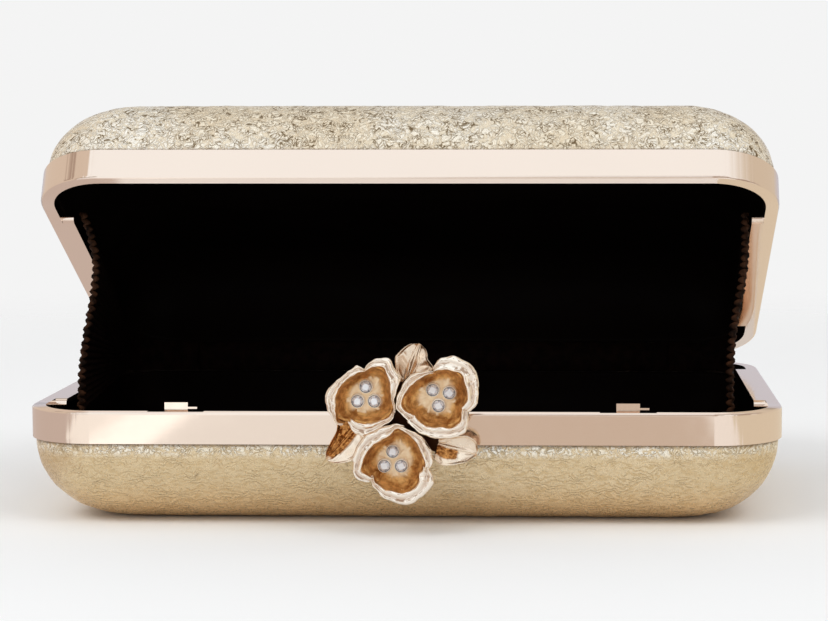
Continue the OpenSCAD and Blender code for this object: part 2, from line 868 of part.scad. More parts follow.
module lid_lining() {
    color(dark_lining)
        on_lid()
            bowl(lining_in - cover_in, lining_t, lining_top);
}

module gusset_strips_lid() {
    color(rose_gold)
        on_lid()
            gusset_strips();
}

module hinge_leaves_lid() {
    color(rose_gold)
        on_lid()
            hinge_leaves([0]);
}

module hinge_rivets_lid() {
    color(rose_gold)
        on_lid()
            hinge_rivets();
}

// Clasp rocker

module clasp_plate() {
    color(copper_gold)
        difference() {
            union() {
                on_plate(0, 0)
                    translate([0, 0, -plate_t])
                        linear_extrude(height = plate_t)
                            plate_outline();
                translate([-hook_w / 2, -bag_d / 2 - plate_off - plate_t, half_h + hook_z])
                    cube([hook_w, plate_off + plate_t - hook_gap, hook_t]);
                ear(lug_x, lug_t, clasp_pin_off - plate_off);
                ear(-lug_x - lug_t, lug_t, clasp_pin_off - plate_off);
            }
            pin_bore(clasp_pin_r + run_gap);
        }
}

module flower_left() {
    color(copper_gold)
        bloom(0);
}

module flower_right() {
    color(copper_gold)
        bloom(1);
}

module flower_lower() {
    color(copper_gold)
        bloom(2);
}

module leaf_top() {
    color(rose_gold)
        leaf(0);
}

module leaf_left() {
    color(rose_gold)
        leaf(1);
}

module leaf_right() {
    color(rose_gold)
        leaf(2);
}

module stone_settings() {
    color(rose_gold)
        at_stones()
            setting();
}

module stones() {
    color(clear_stone)
        at_stones()
            stone();
}

base_shell();
base_cover();
base_frame();
base_lining();
guide_lugs();
gusset_strips_base();
hinge_leaves_base();
hinge_pins();
hinge_rivets_base();
clasp_bracket();
bracket_rivets();
clasp_pin();
clasp_spring();
gusset_left();
gusset_right();
gusset_back();
lid_shell();
lid_cover();
lid_frame();
lid_lining();
gusset_strips_lid();
hinge_leaves_lid();
hinge_rivets_lid();
clasp_plate();
flower_left();
flower_right();
flower_lower();
leaf_top();
leaf_left();
leaf_right();
stone_settings();
stones();
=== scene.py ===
from math import cos, degrees, exp, pi, prod, radians, sin, sqrt, tan

import bmesh
import bpy
import numpy as np
from mathutils import Matrix, Vector, noise


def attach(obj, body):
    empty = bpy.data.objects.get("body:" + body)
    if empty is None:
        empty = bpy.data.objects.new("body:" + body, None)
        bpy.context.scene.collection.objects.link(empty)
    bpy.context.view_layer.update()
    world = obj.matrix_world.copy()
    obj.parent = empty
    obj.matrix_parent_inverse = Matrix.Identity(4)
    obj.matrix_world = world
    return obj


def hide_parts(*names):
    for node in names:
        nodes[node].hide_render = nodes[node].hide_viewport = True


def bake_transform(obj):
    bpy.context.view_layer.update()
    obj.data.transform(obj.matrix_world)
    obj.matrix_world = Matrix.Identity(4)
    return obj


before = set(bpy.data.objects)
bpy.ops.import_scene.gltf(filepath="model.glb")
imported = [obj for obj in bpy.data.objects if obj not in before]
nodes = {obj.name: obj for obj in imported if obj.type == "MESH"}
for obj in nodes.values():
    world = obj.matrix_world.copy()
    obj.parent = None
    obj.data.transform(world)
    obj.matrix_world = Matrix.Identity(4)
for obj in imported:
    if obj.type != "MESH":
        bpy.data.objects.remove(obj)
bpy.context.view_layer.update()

# All sizes below are millimetres until a mesh is made
MM = 0.001

# The bag's main sizes, as the frame has them
BAG_W = 190.0
BAG_D = 118.0
HALF_H = 29.0
CORNER_R = 18.0
OPEN_ANGLE = radians(28.5)
HINGE_Y = 60.9
HINGE_Z = 29.15
BAND_H = 7.8
COVER_IN = 0.85
COVER_T = 0.7
BELLY_IN = 20.0
FLOOR_R = 10.0
LINING_OFF = 2.0
LINING_T = 0.8
RIM_W = 3.4
LIP_H = 3.0
STRIP_FRONT = 27.0
STRIP_W = 3.0
PLATE_FRONT = 4.8
STEM_R = 3.4


# Meshes

def add_object(name, data):
    obj = bpy.data.objects.new(name, data)
    bpy.context.scene.collection.objects.link(obj)
    return obj


def make_object(name, points, faces, material, smooth=True):
    mesh = bpy.data.meshes.new(name)
    mesh.from_pydata([tuple(MM * c for c in p) for p in points], [], faces)
    mesh.validate()
    mesh.polygons.foreach_set("use_smooth", [smooth] * len(mesh.polygons))
    mesh.materials.append(material)
    mesh.update()
    return add_object(name, mesh)


def grid_faces(rows, cols, first=0, wrap=False):
    """Quads of a grid of points that is stored row by row; wrap closes each row to a ring."""
    faces = []
    for i in range(rows - 1):
        for j in range(cols if wrap else cols - 1):
            a, b = first + i * cols + j, first + i * cols + (j + 1) % cols
            faces.append((a, b, b + cols, a + cols))
    return faces


def set_attribute(obj, name, values, domain="POINT"):
    layer = obj.data.attributes.new(name, "FLOAT", domain)
    layer.data.foreach_set("value", np.asarray(values, np.float32))


def weld(obj, distance=0.002):
    bm = bmesh.new()
    bm.from_mesh(obj.data)
    bmesh.ops.remove_doubles(bm, verts=bm.verts, dist=distance * MM)
    bmesh.ops.recalc_face_normals(bm, faces=bm.faces)
    bm.to_mesh(obj.data)
    bm.free()


def curve_through(points, steps):
    """A smooth line through the points, with even steps between them."""
    p = np.asarray(points, float)
    p = np.vstack([2 * p[0] - p[1], p, 2 * p[-1] - p[-2]])
    out = []
    for i in range(1, len(p) - 2):
        for k in range(steps):
            t = k / steps
            out.append(0.5 * ((2 * p[i]) + (p[i + 1] - p[i - 1]) * t
                              + (2 * p[i - 1] - 5 * p[i] + 4 * p[i + 1] - p[i + 2]) * t * t
                              + (3 * p[i] - p[i - 1] - 3 * p[i + 1] + p[i + 2]) * t ** 3))
    out.append(p[-2])
    return np.array(out)


def smoothstep(t):
    t = min(max(float(t), 0.0), 1.0)
    return t * t * (3 - 2 * t)


def noise_at(x, y, z):
    return noise.noise(Vector((x, y, z)))


def on_lid(p):
    """Turns a point of a half drawn like the base to its place on the open lid."""
    c, s = cos(OPEN_ANGLE), sin(OPEN_ANGLE)
    y, z = p[1] - HINGE_Y, HINGE_Z - p[2]
    return (p[0], HINGE_Y + y * c + z * s, HINGE_Z - y * s + z * c)


# Materials. The scale of a noise is per metre: 1000 gives grains of about a millimetre

class Wiring:
    """A node tree, with short ways to add nodes to it and to link them."""

    def __init__(self, tree, coords):
        self.tree = tree
        self.coords = self.node("ShaderNodeTexCoord").outputs[coords]

    def node(self, kind, **values):
        n = self.tree.nodes.new(kind)
        for key, value in values.items():
            setattr(n, key, value)
        return n

    def put(self, socket, value):
        if isinstance(value, bpy.types.NodeSocket):
            self.tree.links.new(value, socket)
        else:
            socket.default_value = value

    def fill(self, n, **values):
        """Fills a node's inputs by name, with _ for a space."""
        for key, value in values.items():
            self.put(n.inputs[key.replace("_", " ")], value)
        return n

    def math(self, operation, *values):
        n = self.node("ShaderNodeMath", operation=operation)
        for socket, value in zip(n.inputs, values):
            self.put(socket, value)
        return n.outputs[0]

    def plus(self, a, b):
        return self.math("ADD", a, b)

    def minus(self, a, b):
        return self.math("SUBTRACT", a, b)

    def times(self, a, b):
        return self.math("MULTIPLY", a, b)

    def vector(self, operation, a, b):
        n = self.node("ShaderNodeVectorMath", operation=operation)
        self.put(n.inputs[0], a)
        self.put(n.inputs[1], b)
        return n.outputs[0]

    def noise(self, scale, detail=3.0, roughness=0.5, at=None, distortion=0.0):
        n = self.fill(self.node("ShaderNodeTexNoise"), Vector=at or self.coords, Scale=scale, Detail=detail,
                      Roughness=roughness, Distortion=distortion)
        return n.outputs["Fac"]

    def ripples(self, scale, distortion, detail_scale, at):
        """Wavy, broken level lines."""
        n = self.fill(self.node("ShaderNodeTexWave", bands_direction="Z"), Vector=at, Scale=scale,
                      Distortion=distortion, Detail=2.0, Detail_Scale=detail_scale)
        return n.outputs["Fac"]

    def bent(self, scale, amount):
        """The coordinates, bent by a noise."""
        n = self.fill(self.node("ShaderNodeTexNoise"), Vector=self.coords, Scale=scale, Detail=2.0)
        shift = self.vector("SUBTRACT", n.outputs["Color"], (0.5, 0.5, 0.5))
        return self.vector("ADD", self.coords, self.vector("MULTIPLY", shift, (amount, amount, amount)))

    def axes(self):
        return self.fill(self.node("ShaderNodeSeparateXYZ"), Vector=self.coords).outputs

    def stretch(self, factors, at=None):
        return self.vector("MULTIPLY", at or self.coords, factors)

    def ramp(self, value, low, high, out_low=0.0, out_high=1.0):
        n = self.node("ShaderNodeMapRange", interpolation_type="SMOOTHSTEP")
        for socket, v in zip(n.inputs, (value, low, high, out_low, out_high)):
            self.put(socket, v)
        return n.outputs[0]

    def mix(self, factor, a, b, kind="RGBA"):
        n = self.node("ShaderNodeMix", data_type=kind)
        return self.fill(n, Factor=factor, A=a, B=b).outputs["Result"]

    def attribute(self, name):
        return self.node("ShaderNodeAttribute", attribute_name=name).outputs["Fac"]

    def bump(self, height, strength, distance, normal=None):
        n = self.fill(self.node("ShaderNodeBump"), Height=height, Strength=strength, Distance=distance * MM)
        if normal:
            self.put(n.inputs["Normal"], normal)
        return n.outputs["Normal"]


class Shader(Wiring):
    """A principled material."""

    def __init__(self, name):
        self.material = bpy.data.materials.new(name)
        self.material.use_nodes = True
        super().__init__(self.material.node_tree, "Object")
        self.surface = self.tree.nodes["Principled BSDF"]

    def set(self, **values):
        self.fill(self.surface, **values)
        return self.material


def srgb(r, g, b):
    def linear(c):
        c /= 255.0
        return c / 12.92 if c <= 0.04045 else ((c + 0.055) / 1.055) ** 2.4
    return (linear(r), linear(g), linear(b), 1.0)


ROSE_GOLD = srgb(241, 224, 210)
# Copper of the clasp plate, painted dark: painted shade in the gaps between the flowers
PLATE_SHADE_COPPER = srgb(52, 30, 18)
SPRING_STEEL = srgb(190, 192, 198)
GUSSET_CLOTH = srgb(13, 7, 5), srgb(27, 14, 10)
GUSSET_BINDING = srgb(17, 9, 6), srgb(62, 38, 24)
# How far the polish of the flat rims leans outwards, and how softly that ends behind the front
RIM_LEAN = radians(40)
LEAN_BLUR = 6.0


def leather_material():
    """Foiled leather: worm-like crinkles where it is gathered, flat wrinkles elsewhere. Its colour holds
    painted shade in the cracks, the wrinkles' troughs, under the band and near the floor, painted highlights on
    the crinkles' ridges, and painted light that makes the lid paler.
    """
    s = Shader("gold_foil_leather")
    gathered, low, lid, seam_shadow = [s.attribute(name) for name in ("gathered", "low", "lid", "seam_shadow")]
    bent = s.bent(300.0, 0.0016)
    grain = s.noise(1300.0, 3.0, 0.6)
    patch = s.ramp(s.noise(42.0, 2.0, 0.5), 0.35, 0.65)
    # Crinkles: the cracks run where a curl of noise has its middle value, and are painted dark as shade in the
    # creases
    curls = [s.noise(scale, 1.0, 0.5, at=bent, distortion=0.9) for scale in (400.0, 610.0)]
    slopes = [s.math("ABSOLUTE", s.minus(curl, 0.5)) for curl in curls]
    slope = s.math("MINIMUM", slopes[0], s.times(slopes[1], 1.3))
    broken = s.ramp(s.noise(330.0, 2.0, at=s.stretch((1.0, 1.0, 1.3))), 0.43, 0.57)
    crease_shade = s.times(s.ramp(slope, 0.036, 0.006), broken)
    puff = s.plus(s.ramp(slope, 0.0, 0.15), s.times(s.ramp(grain, 0.3, 0.7), 0.3))
    # Wrinkles: level ripples in some places, fine grain in others
    ripple = s.ripples(300.0, 15.0, 1.15, s.bent(420.0, 0.0014))
    fine = s.ramp(s.noise(1000.0, 3.0, 0.55, at=s.stretch((0.45, 0.45, 1.0), bent)), 0.25, 0.75)
    rippled = s.ramp(s.noise(260.0, 2.0, at=s.stretch((0.6, 0.6, 1.0))), 0.38, 0.6, 0.1, 0.85)
    wrinkle = s.mix(rippled, fine, ripple, "FLOAT")
    height = s.mix(gathered, s.times(wrinkle, 0.46), s.times(puff, 0.66), "FLOAT")
    height = s.plus(height, s.times(grain, 0.08))
    # Painted shade near the floor: low on the base the leather is painted darker and more golden
    pale = s.mix(low, s.mix(patch, srgb(218, 196, 157), srgb(224, 203, 166)), srgb(224, 190, 141))
    deep = s.mix(low, srgb(209, 184, 142), srgb(207, 172, 122))
    # Painted shade in the wrinkles: their troughs take the darker colour (deep), their crests the paler one
    smooth = s.mix(s.ramp(wrinkle, 0.15, 0.6), deep, pale)
    # Painted light: the lid's crinkled leather is painted paler than the base's
    shade = s.mix(lid, srgb(226, 206, 170), s.mix(patch, srgb(232, 217, 190), srgb(243, 233, 211)))
    # Painted highlight: the crinkles' ridges, away from the cracks, are painted brighter
    ridge_highlight = s.mix(s.ramp(slope, 0.015, 0.08), shade, s.mix(patch, srgb(248, 238, 216), srgb(255, 252, 242)))
    # Painted shade in the creases: the cracks are painted dark, half as dark on the base as on the lid
    rough = s.mix(s.times(crease_shade, s.mix(lid, 0.5, 1.0, "FLOAT")), ridge_highlight, srgb(112, 92, 62))
    # The line under the band is painted dark: painted shadow
    return s.set(
        Base_Color=s.mix(seam_shadow, s.mix(gathered, smooth, rough), srgb(112, 84, 58)), Metallic=0.56,
        Roughness=s.ramp(grain, 0.3, 0.7, 0.24, 0.4), Normal=s.bump(height, 0.9, 0.42))


def metal_material(name, colour, dull=0.07, normal=None):
    """Polished metal with fine scratches; dull is its least roughness."""
    s = Shader(name)
    marks = s.noise(60.0, 5.0, 0.6, at=s.stretch((1.0, 6.0, 22.0)))
    wear = s.noise(240.0, 4.0, 0.6)
    tone = tuple(0.96 * c for c in colour[:3]) + (1.0,)
    return s.set(
        Base_Color=s.mix(s.noise(30.0), tone, colour), Metallic=1.0,
        Roughness=s.ramp(wear, 0.35, 0.75, dull, dull + 0.05),
        Normal=s.bump(marks, 0.12, 0.01, normal(s) if normal else None))


def domed_rim(lid):
    """A normal that leans outwards along the front of a half's rim, as a slightly domed one's does."""
    def normal(s):
        x, y, z = s.axes()
        if lid:
            c, sine = cos(OPEN_ANGLE), sin(OPEN_ANGLE)
            y = s.minus(s.times(s.minus(y, HINGE_Y * MM), c), s.times(s.minus(z, HINGE_Z * MM), sine))
            y = s.plus(y, HINGE_Y * MM)
        beyond = [s.math("MAXIMUM", s.minus(s.math("ABSOLUTE", place), (side / 2 - CORNER_R) * MM), 0.0)
                  for place, side in ((x, BAG_W), (y, BAG_D))]
        reach = s.math("SQRT", s.plus(s.times(beyond[0], beyond[0]), s.times(beyond[1], beyond[1])))
        leaning = s.bump(s.times(reach, -tan(RIM_LEAN)), 1.0, 1.0 / MM)
        bend = CORNER_R - BAG_D / 2
        front = s.ramp(y, (bend + LEAN_BLUR) * MM, (bend - LEAN_BLUR) * MM)
        return s.mix(front, s.node("ShaderNodeNewGeometry").outputs["Normal"], leaning, "VECTOR")
    return normal


def petal_material():
    """Brushed copper in the cup, paler on its floor, and pale polished metal on the rims, with painted shade in
    the rims' valleys, on their outer edges and behind.
    """
    s = Shader("petal_metal")
    rim = s.ramp(s.plus(s.attribute("rim"), s.ramp(s.noise(900.0), 0.3, 0.7, -0.1, 0.1)), 0.3, 0.6)
    brush = s.noise(520.0, 4.0, 0.65, at=s.bent(200.0, 0.002))
    wall = s.mix(s.ramp(brush, 0.28, 0.72), srgb(148, 92, 36), srgb(238, 186, 116))
    grains = s.mix(s.noise(700.0), srgb(230, 192, 142), srgb(253, 236, 208))
    cup = s.mix(s.ramp(s.attribute("floor"), 0.1, 0.9), wall, grains)
    pale = s.mix(s.noise(260.0), srgb(249, 233, 214), srgb(255, 250, 240))
    # Painted shade on the rims: darker in their valleys, on their outer edges and behind, in blotches
    dip_shade = s.times(s.attribute("dip_shade"), s.ramp(s.noise(160.0, 1.0), 0.3, 0.6, 0.4, 1.0))
    pale = s.mix(s.times(dip_shade, 0.6), pale, srgb(182, 142, 110))
    relief = s.plus(s.times(brush, 0.5), s.noise(330.0, 3.0, 0.6))
    return s.set(
        Base_Color=s.mix(rim, cup, pale), Metallic=s.ramp(rim, 0.0, 1.0, 0.75, 1.0),
        Roughness=s.mix(rim, s.ramp(brush, 0.3, 0.7, 0.34, 0.5), 0.08, "FLOAT"),
        Normal=s.bump(s.times(relief, s.ramp(rim, 0.0, 1.0, 1.0, 0.08)), 0.6, 0.2))


def leaf_material():
    """Pale metal, with dark copper in the hollow of a leaf."""
    s = Shader("leaf_metal")
    hollow = s.ramp(s.attribute("hollow"), 0.2, 0.8)
    pale = s.mix(s.noise(240.0), srgb(226, 198, 170), srgb(250, 238, 220))
    speck = s.noise(1000.0, 3.0, 0.7)
    copper = s.mix(s.ramp(speck, 0.35, 0.62), srgb(120, 68, 28), srgb(216, 154, 90))
    return s.set(
        Base_Color=s.mix(hollow, pale, copper), Metallic=1.0,
        Roughness=s.ramp(s.noise(500.0), 0.3, 0.7, 0.12, 0.28),
        Normal=s.bump(s.plus(s.noise(420.0, 2.0), s.times(hollow, speck)), 0.4, 0.12))


def lining_material():
    s = Shader("dark_satin_lining")
    weave = s.times(s.noise(3200.0, 2.0, at=s.stretch((1.0, 0.2, 0.2))),
                    s.noise(3200.0, 2.0, at=s.stretch((0.2, 1.0, 1.0))))
    watered = s.noise(60.0, 3.0, at=s.stretch((0.35, 1.0, 1.0)), distortion=1.5)
    return s.set(
        Base_Color=s.mix(watered, srgb(9, 4, 3), srgb(19, 10, 7)),
        Roughness=s.ramp(watered, 0.3, 0.7, 0.6, 0.75), Specular_IOR_Level=0.06,
        Normal=s.bump(weave, 0.5, 0.05))


def gusset_material(name, colours):
    s = Shader(name)
    weave = s.noise(2400.0, 3.0)
    return s.set(
        Base_Color=s.mix(s.ramp(s.noise(420.0, 4.0), 0.3, 0.7), *colours),
        Roughness=s.ramp(weave, 0.3, 0.7, 0.7, 0.9), Specular_IOR_Level=0.06, Normal=s.bump(weave, 0.6, 0.08))


def stone_material():
    """Cut glass with painted reflections: its facets are painted lighter and darker, standing in for the light
    and dark that a foiled stone's facets mirror.
    """
    s = Shader("clear_stone")
    clear = s.mix(s.noise(900.0), srgb(240, 243, 250), srgb(255, 255, 255))
    return s.set(
        Base_Color=s.mix(s.attribute("facet_shade"), clear, srgb(170, 174, 188)), Metallic=0.3, Roughness=0.03,
        IOR=1.8, Transmission_Weight=0.15)


def foil_material():
    s = Shader("silver_foil")
    return s.set(
        Base_Color=s.mix(s.noise(800.0), srgb(226, 228, 236), srgb(252, 252, 255)),
        Metallic=0.85, Roughness=0.12)


def collet_material():
    """Pale metal round each stone, with painted shade: the groove inside the ring is painted dark."""
    s = Shader("collet_metal")
    groove = s.ramp(s.attribute("groove"), 0.3, 0.7)
    pale = s.mix(s.noise(400.0), srgb(248, 234, 214), srgb(255, 250, 242))
    # The groove is painted dark: painted shade
    return s.set(
        Base_Color=s.mix(groove, pale, srgb(44, 34, 27)), Metallic=0.2,
        Roughness=s.ramp(groove, 0.0, 1.0, 0.16, 0.5), Normal=s.bump(s.noise(700.0), 0.3, 0.05))


def plastic_material():
    s = Shader("moulded_grey_board")
    return s.set(
        Base_Color=s.mix(s.noise(300.0), srgb(64, 60, 56), srgb(84, 80, 76)), Roughness=0.62,
        Normal=s.bump(s.noise(1500.0), 0.3, 0.05))


# Camera and studio

CAMERA_PLACE = (45.43, -593.47, 102.83)
# What the surfaces are lit with from all sides, and what the camera sees behind the floor
WORLD_FILL = (0.74, 0.74, 0.745, 1.0)
BACKDROP = (0.905, 0.905, 0.905, 1.0)
# What metal mirrors: before the bag, right and left of it, behind it from the horizon upwards, above it, and in
# dark patches
FRONT_LIGHT = (1.07, 1.12, 1.16, 1.0)
RIGHT_LIGHT = (0.72, 0.64, 0.53, 1.0)
LEFT_LIGHT = (0.75, 0.65, 0.56, 1.0)
BACK_LIGHTS = (0.63, 0.61, 0.66, 1.0), (0.42, 0.37, 0.31, 1.0), (0.95, 0.95, 0.95, 1.0)
TOP_LIGHT = (1.0, 1.0, 1.0, 1.0)
PATCH_LIGHT = (0.46, 0.36, 0.30, 1.0)
# The floor: half its side, and how far from the middle it starts and ends fading
FLOOR_HALF = 3000.0
FLOOR_FADE = (230.0, 720.0)
# Lamps: place and power. They have one size in metres and point at one spot
LAMPS = {"key": ((-0.7, -0.75, 1.1), 5.3), "fill": ((0.75, -0.7, 1.15), 3.6)}
LAMP_SIZE = (0.8, 0.6)
LAMP_TARGET = (0, 0, 0.03)


def place_camera():
    """The photograph's view, 828 by 621 pixels, fitted to the outlines of the two rims."""
    width_px = 828.0
    focal_px = 2198.8
    centre_px = 522.0
    yaw, pitch, roll = radians(1.66), radians(5.17), radians(-0.06)
    forward = Vector((-sin(yaw) * cos(pitch), cos(yaw) * cos(pitch), -sin(pitch)))
    camera = bpy.data.cameras.new("camera")
    camera.sensor_width = 36.0
    camera.lens = focal_px * camera.sensor_width / width_px
    camera.shift_x = -(centre_px - width_px / 2) / width_px
    camera.clip_end = 50.0
    obj = add_object("camera", camera)
    turn = forward.to_track_quat("-Z", "Y").to_matrix() @ Matrix.Rotation(roll, 3, "Z")
    obj.matrix_world = Matrix.Translation(Vector(CAMERA_PLACE) * MM) @ turn.to_4x4()
    bpy.context.scene.camera = obj


def build_world():
    """A white studio, which metal mirrors by bearing and height."""
    world = bpy.data.worlds.new("studio")
    bpy.context.scene.world = world
    world.use_nodes = True
    world.node_tree.nodes.clear()
    w = Wiring(world.node_tree, "Generated")
    x, y, z = w.axes()
    # Degrees to the right of the front of the bag, and above the horizon
    bearing = w.times(w.math("ARCTAN2", x, w.times(y, -1.0)), degrees(1.0))
    height = w.times(w.math("ARCSINE", z), degrees(1.0))
    aside = w.math("ABSOLUTE", bearing)
    back = w.mix(w.ramp(height, 12.0, 22.0), *BACK_LIGHTS[:2])
    back = w.mix(w.ramp(height, 40.0, 60.0), back, BACK_LIGHTS[2])
    light = FRONT_LIGHT
    for place, start, end, colour in ((bearing, 35.0, 95.0, RIGHT_LIGHT), (bearing, -43.5, -46.5, LEFT_LIGHT),
                                      (aside, 135.0, 155.0, back), (height, 66.0, 80.0, TOP_LIGHT)):
        light = w.mix(w.ramp(place, start, end), light, colour)
    # The lid's band mirrors heights of 47 to 62 degrees, which stay clear of the patches
    clear_band = w.math("MAXIMUM", w.ramp(height, 47.0, 43.0), w.ramp(height, 62.0, 66.0))
    dark = w.times(w.ramp(w.noise(1.8, 2.0), 0.5, 0.53), clear_band)
    light = w.mix(w.times(dark, w.ramp(aside, 95.0, 75.0)), light, PATCH_LIGHT)
    path = w.node("ShaderNodeLightPath")
    light = w.mix(path.outputs["Is Glossy Ray"], WORLD_FILL, light)
    seen = w.math("MAXIMUM", path.outputs["Is Camera Ray"], path.outputs["Is Transmission Ray"])
    background = w.fill(w.node("ShaderNodeBackground"), Color=w.mix(seen, light, BACKDROP), Strength=1.0)
    w.put(w.node("ShaderNodeOutputWorld").inputs["Surface"], background.outputs[0])


def build_floor():
    """A pale floor that fades away from the bag."""
    s = Shader("studio_floor")
    away = s.node("ShaderNodeVectorMath", operation="LENGTH")
    s.put(away.inputs[0], s.coords)
    s.set(Base_Color=s.mix(s.noise(2.0), (0.925, 0.93, 0.93, 1.0), (0.93, 0.935, 0.935, 1.0)), Roughness=0.9,
          Specular_IOR_Level=0.0,
          Alpha=s.ramp(away.outputs["Value"], FLOOR_FADE[0] * MM, FLOOR_FADE[1] * MM, 1.0, 0.0))
    half = FLOOR_HALF
    floor = make_object("floor", [(-half, -half, 0), (half, -half, 0), (half, half, 0), (-half, half, 0)],
                        [(0, 1, 2, 3)], s.material)


# Cards just above the floor. Before the bag: the light left of the stripes, and each stripe's left end, how
# soft that is, and its light
STRIPES_START = (0.63, 0.54, 0.50)
STRIPES = [(-207.0, 3.0, (1.08, 1.07, 1.04)), (-110.0, 1.5, (1.4, 1.4, 1.38)), (-89.0, 1.5, (0.94, 0.93, 0.91)),
           (-17.0, 8.0, (0.66, 0.56, 0.48)), (87.0, 1.5, (0.97, 0.95, 0.93)), (192.0, 4.0, (0.77, 0.69, 0.56))]
STRIPES_NEAR = -150.0
STRIPES_FAR = -800.0
CARD_REACH = 900.0
CARD_LIFT = 0.5
# Beside the bag, where the arms and corners mirror them
SIDE_CARD_X = 98.0
SIDE_CARD_BACK = 260.0


def mirror_card(name, s, light, across, deep):
    """A glowing card, which only mirrors see."""
    s.set(Base_Color=(0.0, 0.0, 0.0, 1.0), Emission_Color=light, Emission_Strength=1.0, Specular_IOR_Level=0.0)
    corners = [(across[i], deep[j], CARD_LIFT) for i, j in ((0, 0), (1, 0), (1, 1), (0, 1))]
    card = make_object(name, corners, [(0, 1, 2, 3)], s.material)
    for ray in ("camera", "diffuse", "transmission", "volume_scatter", "shadow"):
        setattr(card, "visible_" + ray, False)


def build_cards():
    """Stripes before the bag, and a card on each side of it."""
    s = Shader("reflector_cards")
    x = s.axes()[0]
    light = (*STRIPES_START, 1.0)
    for place, blur, colour in STRIPES:
        light = s.mix(s.ramp(x, (place - blur) * MM, (place + blur) * MM), light, (*colour, 1.0))
    mirror_card("front_cards", s, light, (-CARD_REACH, CARD_REACH), (STRIPES_FAR, STRIPES_NEAR))
    for name, colour, side in (("left_card", STRIPES_START, -1), ("right_card", STRIPES[-1][2], 1)):
        mirror_card(name, Shader(name), (*colour, 1.0), (side * SIDE_CARD_X, side * CARD_REACH),
                    (STRIPES_NEAR, SIDE_CARD_BACK))


def soft_lamp(name, place, watts):
    data = bpy.data.lights.new(name, "AREA")
    data.shape = "RECTANGLE"
    data.size, data.size_y = LAMP_SIZE
    data.energy = watts
    obj = add_object(name, data)
    obj.location = place
    obj.rotation_euler = (Vector(LAMP_TARGET) - Vector(place)).to_track_quat("-Z", "Y").to_euler()
    obj.visible_glossy = False


# Moulded halves: leather outside, lining inside

# Gathered leather along the base's band: how far down it goes, and over what height it ends
GATHERED_STRIP = 3.5
GATHER_FADE = 1.2
# Height below which the base's leather is painted darker and more golden, as shade near the floor
LOW_SHADE_Z = 13.0
# Shadowed line under the band: its height, and how softly it starts
SEAM_H = 0.35
SEAM_BLUR = 0.2
# Height and width of the swells: those of one half, and those that both halves share
LEATHER_SWELLS = ((0.1, 2.2), (0.13, 6.0))
LINING_SWELLS = ((0.22, 11.0), (0.05, 3.0))
# How far below the band (leather) and below the top edge (lining) they end
CALM_AT_BAND = 1.0
CALM_AT_RIM = 2.0
# How far the leather and the lining end below the rim and below the lip
LEATHER_DROP = 0.9
LINING_DROP = 0.1
# Points of a long side, a short side and a corner; rings down the side and across the flat face
LEATHER_COUNTS, LEATHER_STEPS = (170, 90, 30), (34, 22)
LINING_COUNTS, LINING_STEPS = (80, 44, 16), (20, 16)
HIDDEN_STEPS = (10, 4)
RING_STEP = 1.2


def ring(w, d, r, z, counts):
    """Points of a rounded rectangle."""
    long_n, short_n, corner_n = counts
    out = []
    for c, (sx, sy) in enumerate(((1, 1), (-1, 1), (-1, -1), (1, -1))):
        centre = np.array([sx * (w / 2 - r), sy * (d / 2 - r)])
        for i in range(corner_n + 1):
            a = pi / 2 * (c + i / corner_n)
            out.append(centre + r * np.array([cos(a), sin(a)]))
        side_n, side = ((long_n, w), (short_n, d))[c % 2]
        way = np.array([(-1, 0), (0, -1), (1, 0), (0, 1)][c])
        start = out[-1]
        out.extend(start + way * (side - 2 * r) * k / side_n for k in range(1, side_n))
    return np.array([(p[0], p[1], z) for p in out])


def form_ring(phi, off, counts):
    bend = 1 - cos(phi)
    inset = COVER_IN + off + (BELLY_IN - off) * bend
    top_r = CORNER_R - COVER_IN - off
    r = top_r + (FLOOR_R - top_r) * bend
    z = HALF_H - BAND_H - (HALF_H - BAND_H - off) * sin(phi)
    return ring(BAG_W - 2 * inset, BAG_D - 2 * inset, r, z, counts)


def form_rings(off, top_z, side_n, flat_n, counts):
    """Rings of one surface of a half, from its top edge to the middle of its flat face."""
    inset = COVER_IN + off
    upright = max(2, round((top_z - HALF_H + BAND_H) / RING_STEP))
    rings = [ring(BAG_W - 2 * inset, BAG_D - 2 * inset, CORNER_R - inset,
                  top_z + (HALF_H - BAND_H - top_z) * k / upright, counts) for k in range(upright)]
    rings += [form_ring(pi / 2 * k / side_n, off, counts) for k in range(side_n + 1)]
    rim = rings[-1]
    spine = np.array([(np.clip(p[0], -(BAG_W - BAG_D) / 2, (BAG_W - BAG_D) / 2), 0, p[2]) for p in rim])
    rings += [rim + (spine - rim) * (k / flat_n) for k in range(1, flat_n + 1)]
    return rings


def surface_normals(rings):
    """Outward normals of a grid of rings that close on themselves."""
    g = np.array(rings)
    along = np.roll(g, -1, 1) - np.roll(g, 1, 1)
    down = np.empty_like(g)
    down[1:-1] = g[2:] - g[:-2]
    down[0] = g[1] - g[0]
    down[-1] = down[-2]
    n = np.cross(down, along)
    n /= np.maximum(np.linalg.norm(n, axis=2, keepdims=True), 1e-9)
    return g, n


def gather(p, lid):
    """Share of gathering at a point: all over the lid, and along the band of the base."""
    return 1.0 if lid else smoothstep((p[2] - (HALF_H - BAND_H - GATHERED_STRIP)) / GATHER_FADE)


def swell(p, seed, sizes):
    """Height of the slow swells under the crinkles of the material."""
    (own_h, own_w), (shared_h, shared_w) = sizes
    own = own_h * noise.noise(Vector(p) / own_w + Vector((seed, 0, 0)))
    return own + shared_h * noise.noise(Vector(p) / shared_w)


